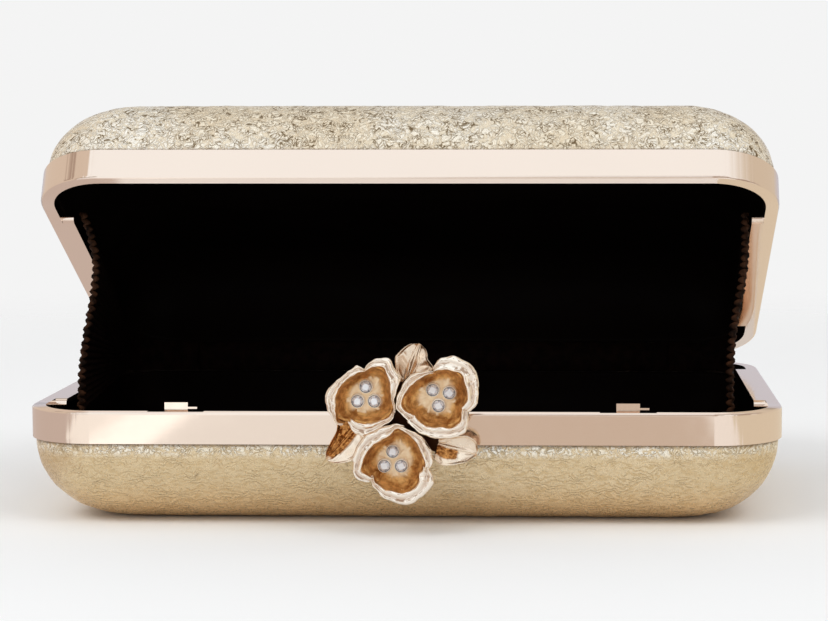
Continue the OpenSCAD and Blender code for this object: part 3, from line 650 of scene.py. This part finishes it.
def bowl(name, off, thickness, top_z, counts, steps, swells, seed, material, lid):
    """A closed shell: a detailed surface where it shows, and a plain one behind it."""
    g, n = surface_normals(form_rings(off, top_z, *steps, counts))
    edge_z = HALF_H - BAND_H
    calm_z = edge_z - CALM_AT_BAND if thickness > 0 else top_z - CALM_AT_RIM
    points = []
    for row, directions in zip(g, n):
        for p, direction in zip(row, directions):
            h = swell(p, seed, swells) * (1 - smoothstep(p[2] - calm_z))
            points.append(p + direction * h)
    back = form_rings(off + thickness, top_z, *HIDDEN_STEPS, counts)
    rows, cols = len(g), len(g[0])
    faces = grid_faces(rows, cols, wrap=True)
    first = len(points)
    for r in back:
        points.extend(r)
    faces += [tuple(reversed(f)) for f in grid_faces(len(back), cols, first, wrap=True)]
    faces += [(first + j, first + (j + 1) % cols, (j + 1) % cols, j) for j in range(cols)]
    gathered = [gather(p, lid) for p in points]
    # Painted shade near the floor, on the base only
    low = [0.0 if lid else smoothstep((LOW_SHADE_Z - p[2]) / LOW_SHADE_Z) for p in points]
    # Painted shadow: a dark line where the leather goes under the band
    seam_shadow = [smoothstep((p[2] - edge_z + SEAM_H) / SEAM_BLUR) for p in points]
    if lid:
        points = [on_lid(p) for p in points]
    obj = make_object(name, points, faces, material)
    set_attribute(obj, "gathered", gathered)
    set_attribute(obj, "lid", [float(lid)] * len(points))
    set_attribute(obj, "seam_shadow", seam_shadow)
    set_attribute(obj, "low", low)
    weld(obj)
    return obj


def build_halves(leather, lining):
    for half, lid, seed in (("base", False, 0.0), ("lid", True, 37.0)):
        cover = bowl(f"{half}_leather", 0.0, COVER_T, HALF_H - LEATHER_DROP, LEATHER_COUNTS, LEATHER_STEPS,
                     LEATHER_SWELLS, seed, leather, lid)
        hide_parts(f"{half}_cover")
        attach(cover, half)
        inner = bowl(f"{half}_satin", LINING_OFF + LINING_T, -LINING_T, HALF_H - LIP_H - LINING_DROP,
                     LINING_COUNTS, LINING_STEPS, LINING_SWELLS, seed, lining, lid)
        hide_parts(f"{half}_lining")
        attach(inner, half)


# Gussets: gathered fabric that opens like a fan about the hinge line

PLEATS = 27
PLEAT_STEPS = 8
PLEAT_D = 1.0
GUSSET_GAP = 0.3
SIDE_CLOTH_T = 0.45
BACK_CLOTH_T = 0.5
# How far the middle of the cloth stands off the face that it lies against
CLOTH_OFF = 0.3
# Steps along the side and round the rear corner, and rows and columns at the back
SIDE_STEPS = (34, 12)
BACK_STEPS = (40, 120)
# Unevenness of the pleats, as a share of their width, and size of the rucks across them
PLEAT_WOBBLE = 0.1
RUCK_H = 0.2
RUCK_W = 3.1
# How far the pleats scallop the front edge, and how much that varies
SCALLOP = 0.5
SCALLOP_WOBBLE = 0.3
# Binding of the front edge: least radius, what a gather adds, how much that varies, and points round it
BEAD_R = 0.4
BEAD_SWELL = 0.5
BEAD_WOBBLE = 0.14
BEAD_POINTS = 12
# How far each side gusset's front edge stands in from its strip, in steps from the base to the lid
DRAPE = {-1: (2.0, 2.15, 2.6, 3.4, 4.4, 5.1, 4.9, 3.1, 0.3), 1: (4.6, 4.7, 4.6, 4.1, 3.0, 1.6, 0.7, 0.4, 0.3)}
GUSSET_BACK = 1.5
SIDE_TUCK = 2.5
BACK_TUCK = 25.0
BACK_HALF_W = 70.0
BACK_GUSSET_R = HINGE_Y - BAG_D / 2 + RIM_W + 3 * GUSSET_GAP
SIDE_BLEND = (0.0, 31.0)
BACK_BLEND = (-2.0, 5.0)


def fan(s, beta):
    return HINGE_Y - s * cos(beta), HINGE_Z + s * sin(beta)


def gusset_line(side_n, corner_n):
    """Side gusset from above: place, bearing of its outer face, and shares of pleats and rear corner."""
    x_rim = BAG_W / 2 - RIM_W - STRIP_W - GUSSET_GAP
    y_front = STRIP_FRONT + GUSSET_BACK - BAG_D / 2
    y_turn, x_turn = BAG_D / 2 - CORNER_R, BAG_W / 2 - CORNER_R
    y_end = HINGE_Y - BACK_GUSSET_R - GUSSET_GAP
    line = [(x_rim, y_front + (y_turn - y_front) * k / side_n, 0.0, 1 - k / side_n, 0.0) for k in range(side_n)]
    for k in range(corner_n + 1):
        a = pi / 2 * k / corner_n
        line.append((x_turn + (x_rim - x_turn) * cos(a), y_turn + (y_end - y_turn) * sin(a), a, 0.0,
                     k / corner_n))
    line.append((BACK_HALF_W + GUSSET_GAP, y_end, pi / 2, 0.0, 1.0))
    return line


def side_gusset(side, material, bead_material):
    rows = PLEATS * PLEAT_STEPS + 1
    line = gusset_line(*SIDE_STEPS)
    cols = len(line)
    drapes = curve_through([(d, 0.0) for d in DRAPE[side]], (rows - 1) // (len(DRAPE[side]) - 1))
    points = []
    for i, (drape, _) in enumerate(drapes):
        u = i / (rows - 1)
        fold = i / PLEAT_STEPS
        wobble = noise_at(fold * 0.9, side * 5.0, 0.0)
        crest = 0.5 - 0.5 * cos(2 * pi * (fold + PLEAT_WOBBLE * wobble))
        for x, y, bearing, share, corner in line:
            tuck = radians(SIDE_TUCK + (BACK_TUCK - SIDE_TUCK) * corner)
            beta = (OPEN_ANGLE + 2 * tuck) * u - tuck
            ruck = RUCK_H * noise_at(y / RUCK_W, u * 40.0, 3.0 * side)
            inward = (drape + PLEAT_D * crest) * share + ruck * (1 - corner)
            scallop = (SCALLOP * crest + SCALLOP_WOBBLE * wobble) * share ** 6
            s = HINGE_Y - y + inward * sin(bearing) + scallop
            points.append((side * (x - inward * cos(bearing) - CLOTH_OFF), *fan(s, beta)))
    name = "right" if side > 0 else "left"
    obj = make_object("gusset_fabric_" + name, points, grid_faces(rows, cols), material)
    thicken(obj, SIDE_CLOTH_T)
    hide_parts("gusset_" + name)
    bead = make_object("gusset_edge_" + name, *side_bead(points[::cols], side), bead_material)
    return [obj, bead]


def thicken(obj, thickness):
    solid = obj.modifiers.new("cloth", "SOLIDIFY")
    solid.thickness = thickness * MM
    solid.offset = 0.0


def side_bead(edge, side):
    """The gathered binding along the front edge: a cord that swells at every gather."""
    path = [Vector(p) for p in edge]
    last = len(path) - 1
    out = []
    for i, p in enumerate(path):
        along = (path[min(i + 1, last)] - path[max(i - 1, 0)]).normalized()
        across = along.cross(Vector((1, 0, 0))).normalized()
        fold = i / PLEAT_STEPS
        gathered = abs(sin(pi * fold)) ** 0.7
        r = BEAD_R + BEAD_SWELL * gathered + BEAD_WOBBLE * noise_at(fold * 1.7, side, 9.0)
        for k in range(BEAD_POINTS):
            a = 2 * pi * k / BEAD_POINTS
            out.append(p + r * (cos(a) * Vector((1, 0, 0)) + sin(a) * across))
    faces = grid_faces(len(path), BEAD_POINTS, wrap=True)
    faces.append(tuple(reversed(range(BEAD_POINTS))))
    faces.append(tuple(last * BEAD_POINTS + k for k in range(BEAD_POINTS)))
    return out, faces


def back_gusset(material):
    """A strip with small upright rucks, bent round the hinge line."""
    rows, cols = BACK_STEPS
    tuck = radians(BACK_TUCK)
    points = []
    for i in range(rows):
        beta = -tuck + (OPEN_ANGLE + 2 * tuck) * i / (rows - 1)
        for j in range(cols):
            x = BACK_HALF_W * (2 * j / (cols - 1) - 1)
            ruck = 0.12 * sin(x * 1.9 + 0.8 * sin(x * 0.23))
            ruck += 0.1 * noise_at(x / 4, beta * 3, 1)
            points.append((x, *fan(BACK_GUSSET_R + CLOTH_OFF + ruck, beta)))
    obj = make_object("gusset_fabric_back", points, grid_faces(rows, cols), material)
    thicken(obj, BACK_CLOTH_T)
    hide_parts("gusset_back")
    return obj


def build_gussets(material, bead_material):
    sides = side_gusset(-1, material, bead_material) + side_gusset(1, material, bead_material)
    for piece, (low, high) in [(p, SIDE_BLEND) for p in sides] + [(back_gusset(material), BACK_BLEND)]:
        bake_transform(piece)


# Clasp flowers. Angles in degrees run counter-clockwise from the right, seen from the front

FLOWERS = {
    # The middle, that of the stones beside it, and the bearing of the first stone.
    # Each petal: points of angle, outer radius and width of its rim, and then its lift
    "flower_left": {"centre": (-8.1, 5.15), "stones": (0.456, 0.095), "turn": 90.0, "petals": [
        ([(86, 7.1, 0.7), (98, 8.0, 1.7), (113, 7.8, 1.8), (134, 7.5, 1.6), (154, 8.1, 2.0), (176, 9.1, 2.6),
          (197, 9.0, 2.2), (212, 8.8, 1.1), (224, 9.1, 0.7), (233, 8.6, 0.9)], 0.1),
        ([(88, 6.8, 0.6), (80, 9.0, 1.9), (68, 10.6, 2.3), (57, 11.6, 2.5), (45, 10.7, 2.4), (30, 10.5, 2.9),
          (14, 8.7, 1.7), (0, 7.7, 0.8), (-12, 8.0, 0.6), (-26, 8.7, 0.5)], 0.25),
        ([(-22, 8.4, 0.6), (-40, 8.9, 1.4), (-56, 8.5, 1.8), (-72, 8.9, 2.5), (-87, 9.5, 3.2), (-102, 9.0, 2.8),
          (-114, 8.1, 2.1), (-124, 7.2, 1.4)], -0.9)]},
    "flower_right": {"centre": (9.4, 5.2), "stones": (0.9603, 0.1188), "turn": -100.0, "petals": [
        ([(90, 6.6, 0.5), (111, 6.9, 0.9), (127, 7.8, 1.8), (146, 8.6, 2.3), (164, 8.8, 1.8), (182, 9.6, 1.7),
          (192, 10.0, 1.7), (204, 9.4, 1.5), (214, 8.9, 2.0), (230, 9.0, 2.0)], -0.2),
        ([(95, 7.4, 1.0), (84, 9.6, 2.8), (71, 10.8, 3.4), (58, 11.5, 3.6), (44, 11.9, 3.2), (30, 11.7, 3.6),
          (16, 10.8, 3.0), (2, 10.4, 2.6), (-10, 9.9, 2.6), (-22, 8.8, 2.2)], 0.3),
        ([(-16, 8.4, 1.6), (-30, 9.2, 2.0), (-42, 10.4, 2.3), (-51, 11.1, 2.9), (-62, 10.6, 2.5),
          (-76, 10.2, 3.0), (-92, 9.8, 2.8), (-110, 9.5, 2.4), (-126, 9.1, 2.3), (-142, 9.0, 2.6)], -0.1)]},
    "flower_lower": {"centre": (-0.95, -10.25), "stones": (-0.2856, -0.3264), "turn": 90.0, "petals": [
        ([(72, 9.3, 0.8), (84, 9.5, 1.6), (98, 8.9, 2.6), (118, 8.7, 2.8), (136, 9.2, 3.0), (156, 9.4, 2.9),
          (176, 9.8, 2.7), (196, 10.1, 2.3), (208, 9.6, 2.6), (221, 7.8, 1.6)], 0.25),
        ([(82, 9.0, 0.8), (66, 8.8, 1.0), (50, 9.1, 1.6), (32, 9.4, 2.2), (14, 9.7, 2.4), (0, 9.8, 2.0),
          (-12, 8.9, 1.2)], 0.0),
        ([(212, 6.6, 0.8), (226, 7.5, 1.1), (240, 8.1, 1.5), (255, 9.0, 2.1), (272, 10.1, 2.8),
          (290, 11.1, 3.1), (306, 11.0, 2.8), (322, 11.1, 3.2), (336, 11.0, 4.0), (345, 9.6, 2.2),
          (353, 8.3, 1.0)], 0.1)]},
}
BLOOM_H = 6.6
BLOOM_FLOOR = 1.7
PETAL_BACK = 0.8
PETAL_STEPS = 7
# How far a petal drops at its ends, and how much its height and outer radius wander
PETAL_DROP = 0.9
TOP_WANDER = 0.4
EDGE_WANDER = 0.15
# Height and width of the dents of the rim, and their sideways share
DENTS = ((0.34, 1.9), (0.06, 0.8))
DENT_SHIFT = 0.4
# Height of the streaks down the walls, and of the grains on the floor
WALL_STREAK = 0.07
GRAIN_H = 0.28
# The pale floor's share of a petal's inner radius
PALE_FLOOR = 0.62
# Points round the cup, and its radius where no petal stands
CUP_POINTS = 96
BARE_R = 6.0


def on_plate(x, z, out):
    """A point on the clasp: x and z beside the middle and above the rim, out from the plate."""
    return (x, -BAG_D / 2 - PLATE_FRONT - out, HALF_H + z)


def turned(section, around, x, z, lift=0.0):
    """Points of a section of radius and height, turned about an axis that stands on the clasp."""
    return [on_plate(x + r * cos(2 * pi * k / around), z + r * sin(2 * pi * k / around),
                     lift + h) for r, h in section for k in range(around)]


def petal_section(r_out, width, top):
    """Closed section of a petal: radius, height, and shares of polish and of painted shade."""
    r_in = r_out - width
    rise = top - BLOOM_FLOOR

    def wall(r_share, h_share, out=0.0, polish=0.0):
        return r_share * r_in + out, BLOOM_FLOOR + h_share * rise, polish, polish

    def rim(w_share, drop, dip_shade=0.0):
        return r_in + w_share * width, top - drop, 1.0, dip_shade

    return curve_through([
        wall(0.6, -0.02), wall(0.72, 0.08), wall(0.84, 0.28), wall(0.93, 0.56),
        (r_in - 0.08, top - 0.7, 0.0, 0.0), (r_in + 0.03, top - 0.25, 0.4, 0.0),
        # A rim point's third number is its share of painted shade: the valley, the outer edge and the back are
        # painted darker
        rim(0.1, 0.02), rim(0.22, 0.06), rim(0.44, 0.44, 0.9), rim(0.6, 0.34, 0.7), rim(0.72, 0.14),
        rim(0.86, 0.26), rim(0.97, 0.66, 0.3), rim(1.0, 1.0, 1.0), rim(0.8, 1.5, 1.0), rim(0.25, 1.85, 1.0),
        wall(0.88, 0.25, 0.4, 1.0), wall(0.66, -0.12, 0.4, 1.0)], 2)


def petal_mesh(table, lift, centre, seed, mesh):
    """A petal: one closed section after the other round the flower's axis."""
    points, faces, marks = mesh
    line = curve_through(table, PETAL_STEPS)
    first = len(points)
    (dent_h, dent_w), (small_h, small_w) = DENTS
    for i, (angle, r_out, width) in enumerate(line):
        u = 2 * i / (len(line) - 1) - 1
        a = radians(angle)
        way = Vector((cos(a), sin(a), 0))
        top = BLOOM_H + lift - PETAL_DROP * abs(u) ** 6
        top += TOP_WANDER * noise_at(seed + 4.0, angle / 24.0, 1.7)
        edge = r_out + EDGE_WANDER * noise_at(seed, angle / 9.0, 0.3)
        section = petal_section(edge, width, top)
        for r, h, polish, dip_shade in section:
            flat = Vector((r * way.x, r * way.y, h))
            dent = dent_h * noise.noise(flat / dent_w + Vector((seed, 0, 0)))
            dent = polish * (dent + small_h * noise.noise(flat / small_w))
            streak = (1 - polish) * WALL_STREAK * noise_at(angle / 2.4, r / 4.0, seed)
            out = r + DENT_SHIFT * dent
            points.append(on_plate(centre[0] + out * way.x, centre[1] + out * way.y, h + dent + streak))
            marks.append((polish, dip_shade, smoothstep(1.0 - r / (PALE_FLOOR * (r_out - width)))))
    n, m = len(line), len(section)
    faces += grid_faces(n, m, first, wrap=True)
    faces.append(tuple(first + k for k in range(m)))
    faces.append(tuple(first + (n - 1) * m + k for k in reversed(range(m))))


def inner_radius(petals, angle):
    """The cup's radius at an angle: the least inner radius of the petals that stand there."""
    found = []
    for table, _ in petals:
        least = min(a for a, _, _ in table)
        angles, radii = zip(*sorted((a - least + least % 360, r - w) for a, r, w in table))
        found += [np.interp(at, angles, radii) for at in (angle, angle + 360) if angles[0] <= at <= angles[-1]]
    return min(found, default=BARE_R)


def cup_mesh(data, mesh):
    """The floor of the flower with its grains, the wall behind the petals, and the stem."""
    points, faces, marks = mesh
    cx, cz = data["centre"]
    rise = BLOOM_H - BLOOM_FLOOR
    around = CUP_POINTS
    rough = [inner_radius(data["petals"], 360 * j / around) for j in range(around)]
    reach = [float(np.mean([rough[(j + k) % around] for k in range(-4, 5)])) for j in range(around)]
    inside = [(0.0, 0.12), (0.1, 0.12), (0.2, 0.11), (0.28, 0.1), (0.36, 0.09), (0.44, 0.06), (0.52, 0.04),
              (0.6, 0.03), (0.7, 0.05 + 0.05 * rise), (0.8, 0.18 * rise), (0.9, 0.42 * rise),
              (0.97, 0.66 * rise)]
    outside = [(1.02, 0.64 * rise), (0.95, 0.3 * rise), (0.8, -0.5)]
    first = len(points)
    for share, h in inside + outside:
        for j in range(around):
            a = 2 * pi * j / around
            r = max(share * reach[j], 0.001)
            x, z = cx + r * cos(a), cz + r * sin(a)
            spot = noise_at(x / 0.9, z / 0.9, 4.0)
            grain = smoothstep((spot - 0.12) / 0.2)
            grain *= smoothstep((share - 0.3) / 0.1) * smoothstep((0.72 - share) / 0.1)
            streak = 0.06 * noise_at(a * 14.0, r / 3.0, cx) if 0.3 < share < 1 else 0.0
            points.append(on_plate(x, z, BLOOM_FLOOR + h + GRAIN_H * grain + streak))
            marks.append((0.0, 0.0, max(smoothstep((0.72 - share) / 0.3), grain)))
    for r, h in ((STEM_R + 0.6, PETAL_BACK), (STEM_R, 0.5), (STEM_R, 0.0), (0.001, 0.0)):
        points += turned([(r, h)], around, cx, cz)
        marks += [(0.0, 0.0, 0.0)] * around
    faces += grid_faces(len(inside + outside) + 4, around, first, wrap=True)


def flower(name, data, material, seed):
    mesh = [], [], []
    for k, (table, lift) in enumerate(data["petals"]):
        petal_mesh(table, lift, data["centre"], seed + 11.0 * k, mesh)
    cup_mesh(data, mesh)
    points, faces, marks = mesh
    obj = make_object(name + "_petals", points, faces, material)
    for mark, values in zip(("rim", "dip_shade", "floor"), zip(*marks)):
        set_attribute(obj, mark, values)
    weld(obj, 0.004)
    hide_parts(name)
    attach(obj, "clasp")


# Leaves

LEAVES = {
    # Root, direction in degrees, length, half widths left and right of the rib, lift of the tip, fold of the
    # left and of the right half, and where the hollow runs across the blade and along it
    "leaf_top": {
        "root": (2.0, 8.0), "turn": 71.0, "length": 10.6, "lift": 1.5, "fold": (0.6, 1.0), "hollow": None,
        "widths": [(0, 1.6, 1.6), (0.25, 3.6, 3.6), (0.5, 4.65, 4.9), (0.6, 4.4, 4.9), (0.72, 3.8, 3.1),
                   (0.83, 3.1, 2.6), (0.93, 2.1, 1.75), (1.0, 0.4, 0.4)]},
    "leaf_left": {
        "root": (-10.0, -2.6), "turn": 227.2, "length": 10.9, "lift": 0.4, "fold": (0.9, 1.5),
        "hollow": (-1.1, 0.35, 0.97),
        "widths": [(0, 3.0, 3.6), (0.185, 3.8, 4.4), (0.37, 4.4, 3.1), (0.62, 4.6, 2.4), (0.85, 2.85, 1.6),
                   (0.95, 1.4, 0.8), (1.0, 0.3, 0.3)]},
    "leaf_right": {
        "root": (9.5, -6.5), "turn": -14.5, "length": 10.0, "lift": 0.6, "fold": (1.6, 0.9),
        "hollow": (-0.72, -0.04, 0.6),
        "widths": [(0, 1.8, 3.6), (0.22, 2.5, 4.8), (0.45, 3.3, 4.3), (0.62, 3.9, 3.5), (0.8, 3.6, 2.5),
                   (0.92, 2.8, 1.1), (1.0, 1.2, 0.3)]},
}
LEAF_T = 0.7
LEAF_STEPS = 6
LEAF_POINTS = 25
# Heights on a leaf: root, side veins, rib, groove beside it, edge, unevenness, grain and depth of the hollow
LEAF_LIFT = 0.9
VEIN_H = 0.12
RIB_H = 0.42
GROOVE_D = 0.16
LEAF_EDGE_H = 0.3
LEAF_WANDER = 0.22
HOLLOW_GRAIN = 0.14
HOLLOW_D = 0.25
# How softly the hollow starts, as a share of the blade
HOLLOW_BLUR = 0.12


def leaf_height(data, t, v, seed):
    """Height of a blade, and share of its hollow: t runs along it, and v across it from -1 to 1."""
    off = abs(v)
    h = LEAF_LIFT + data["lift"] * t * t + data["fold"][0 if v > 0 else 1] * off ** 1.5 * (1 - 0.4 * t)
    h += VEIN_H * cos(2 * pi * (4.2 * t - 1.6 * off)) * off * (1 - off)
    h += RIB_H * exp(-(v / 0.07) ** 2) * (1 - 0.6 * t)
    h -= GROOVE_D * exp(-((off - 0.17) / 0.06) ** 2)
    h += LEAF_EDGE_H * smoothstep((off - 0.82) / 0.14)
    h += LEAF_WANDER * noise_at(seed, t * 4.0, v * 1.5)
    if not data["hollow"]:
        return h, 0.0
    low, high, end = data["hollow"]
    copper = prod(smoothstep(reach / HOLLOW_BLUR) for reach in (v - low, high - v, end - t))
    return h + copper * (HOLLOW_GRAIN * noise_at(seed, t * 16.0, v * 7.0) - HOLLOW_D), copper


def leaf(name, data, material, seed):
    """A blade with a rib, veins and a raised edge, closed behind at an even thickness."""
    line = curve_through(data["widths"], LEAF_STEPS)
    across = LEAF_POINTS
    a = radians(data["turn"])
    way = Vector((cos(a), sin(a)))
    left = Vector((-way.y, way.x))
    top, hollow = [], []
    for t, half_left, half_right in line:
        for k in range(across):
            v = 2 * k / (across - 1) - 1
            h, copper = leaf_height(data, t, v, seed)
            side = v * (half_left if v > 0 else half_right)
            p = Vector(data["root"]) + way * data["length"] * t + left * side
            top.append((p.x, p.y, h))
            hollow.append(copper)
    rows = len(line)
    points = [on_plate(*p) for p in top] + [on_plate(p[0], p[1], p[2] - LEAF_T) for p in top]
    k = rows * across
    faces = grid_faces(rows, across) + [tuple(reversed(f)) for f in grid_faces(rows, across, k)]
    rim = [*range(across), *range(2 * across - 1, k, across), *range(k - 2, k - across - 1, -1),
           *range(k - 2 * across, 0, -across)]
    faces += [(a, k + a, k + b, b) for a, b in zip(rim, rim[1:] + rim[:1])]
    obj = make_object(name + "_blade", points, faces, material)
    set_attribute(obj, "hollow", hollow + [0.0] * k)
    weld(obj)
    soft = obj.modifiers.new("soft_edges", "SUBSURF")
    soft.levels = 1
    soft.render_levels = 1
    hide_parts(name)
    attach(obj, "clasp")


# Stones

STONE_R = 1.37
STONE_PITCH = 4.1
STONE_LIFT = 1.47
# Heights of a stone's table and point over its girdle, and of the girdle itself
TABLE_H = 0.5
POINT_H = -0.85
GIRDLE_H = 0.06
STONE_SPIN = 17.0
FOIL_POINTS = 16
COLLET_POINTS = 32


def stone_places():
    for data in FLOWERS.values():
        for i in range(3):
            a = radians(data["turn"] + 120 * i)
            r = STONE_PITCH / sqrt(3)
            yield (data["centre"][0] + data["stones"][0] + r * cos(a),
                   data["centre"][1] + data["stones"][1] + r * sin(a))


def stone_points(sides=8):
    """Brilliant cut: table, star points, girdle and a pavilion that ends in a point."""
    points = [(0.56 * STONE_R, 2 * i, TABLE_H) for i in range(sides)]
    points += [(0.80 * STONE_R, 2 * i + 1, 0.66 * TABLE_H) for i in range(sides)]
    points += [(STONE_R, k, 0.0) for k in range(2 * sides)]
    points += [(STONE_R, k, -GIRDLE_H) for k in range(2 * sides)]
    points += [(0.52 * STONE_R, 2 * i + 1, 0.52 * POINT_H) for i in range(sides)]
    points += [(0.0, 0, POINT_H)]
    return [(r * cos(pi * k / sides), r * sin(pi * k / sides), h) for r, k, h in points]


def stone_faces(n=8):
    """Facets of a stone, and the painted shade of each one."""
    star, girdle, belt, low, culet = n, 2 * n, 4 * n, 6 * n, 7 * n
    faces = [tuple(range(n))]
    shades = [0.0]
    for i in range(n):
        j = (i + 1) % n
        after = (2 * i + 2) % (2 * n)
        faces += [(i, star + i, j),
                  (i, girdle + 2 * i, girdle + 2 * i + 1, star + i),
                  (star + i, girdle + 2 * i + 1, girdle + after, j)]
        faces += [(girdle + a, belt + a, belt + b, girdle + b)
                  for a, b in ((2 * i, 2 * i + 1), (2 * i + 1, after))]
        # The painted shade of each facet, standing in for the light and dark that it mirrors
        shades += [0.6 if i % 2 else 0.0, 0.0 if i % 2 else 0.5, 0.15 if i % 3 else 0.9]
        shades += [1.0, 1.0, 0.3, 0.0, 0.5]
        faces += [(belt + 2 * i, low + i, belt + 2 * i + 1), (belt + 2 * i + 1, low + i, belt + after),
                  (belt + after, low + i, culet, low + j)]
    return faces, shades


def build_stones(material, foil):
    shape = stone_points()
    cut, shades = stone_faces()
    cup = [(1.32, STONE_LIFT - 0.07), (0.62, STONE_LIFT - 0.49), (0.02, STONE_LIFT - 0.88)]
    points, faces, cups, cup_faces = [], [], [], []
    for number, (x, z) in enumerate(stone_places()):
        first = len(points)
        spin = radians(STONE_SPIN * number)
        c, s = cos(spin), sin(spin)
        points += [on_plate(x + c * p[0] - s * p[1], z + s * p[0] + c * p[1], BLOOM_FLOOR + STONE_LIFT + p[2])
                   for p in shape]
        faces += [tuple(first + k for k in f) for f in cut]
        cup_faces += grid_faces(len(cup), FOIL_POINTS, len(cups), wrap=True)
        cups += turned(cup, FOIL_POINTS, x, z, BLOOM_FLOOR)
    obj = make_object("cut_stones", points, faces, material, smooth=False)
    set_attribute(obj, "facet_shade", shades * (len(points) // len(shape)), "FACE")
    weld(obj, 0.0005)
    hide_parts("stones")
    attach(obj, "clasp")
    back = make_object("stone_foils", cups, cup_faces, foil, smooth=False)
    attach(back, "clasp")


def build_settings(material):
    """Round collets: a pale ring, with a groove between it and the stone that is painted dark as shade."""
    around = COLLET_POINTS
    section = [(1.39, -0.2), (1.39, 1.15), (1.42, 1.36), (1.46, 1.47), (1.52, 1.54), (1.59, 1.5), (1.65, 1.34),
               (1.68, 0.9), (1.72, 0.3), (1.9, -0.1)]
    points, faces, groove = [], [], []
    for x, z in stone_places():
        faces += grid_faces(len(section), around, len(points), wrap=True)
        points += turned(section, around, x, z, BLOOM_FLOOR)
        # Painted shade: the first four points of the section, in the groove by the stone, are painted dark
        groove += [1.0 if k < 4 else 0.0 for k in range(len(section)) for _ in range(around)]
    obj = make_object("stone_collets", points, faces, material)
    set_attribute(obj, "groove", groove)
    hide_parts("stone_settings")
    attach(obj, "clasp")


# Metal pieces of the frame keep their own shape and get a finish

def dress(name, material):
    for slot in nodes[name].material_slots:
        slot.material = material


def main():
    scene = bpy.context.scene
    scene.view_settings.view_transform = "Standard"
    place_camera()
    build_world()
    build_floor()
    build_cards()
    for name, (place, watts) in LAMPS.items():
        soft_lamp(name, place, watts)
    rose = metal_material("rose_gold", ROSE_GOLD)
    copper = metal_material("plate_shade_copper", PLATE_SHADE_COPPER, 0.35)
    steel = metal_material("spring_steel", SPRING_STEEL, 0.2)
    build_halves(leather_material(), lining_material())
    build_gussets(gusset_material("gusset_cloth", GUSSET_CLOTH),
                  gusset_material("gusset_binding", GUSSET_BINDING))
    petals = petal_material()
    for k, (name, data) in enumerate(FLOWERS.items()):
        flower(name, data, petals, 3.0 + 17.0 * k)
    blades = leaf_material()
    for k, (name, data) in enumerate(LEAVES.items()):
        leaf(name, data, blades, 2.0 + 5.0 * k)
    build_stones(stone_material(), foil_material())
    build_settings(collet_material())
    for name, lid in (("base_frame", False), ("lid_frame", True)):
        dress(name, metal_material("rose_gold_" + name, ROSE_GOLD, normal=domed_rim(lid)))
    for name in ("guide_lugs", "gusset_strips_base", "gusset_strips_lid",
                 "hinge_leaves_base", "hinge_leaves_lid", "hinge_pins", "hinge_rivets_base",
                 "hinge_rivets_lid", "clasp_bracket", "bracket_rivets", "clasp_pin"):
        dress(name, rose)
    # The plate's dark colour is painted shade, seen in the gaps between the flowers
    dress("clasp_plate", copper)
    dress("clasp_spring", steel)
    board = plastic_material()
    dress("base_shell", board)
    dress("lid_shell", board)


main()
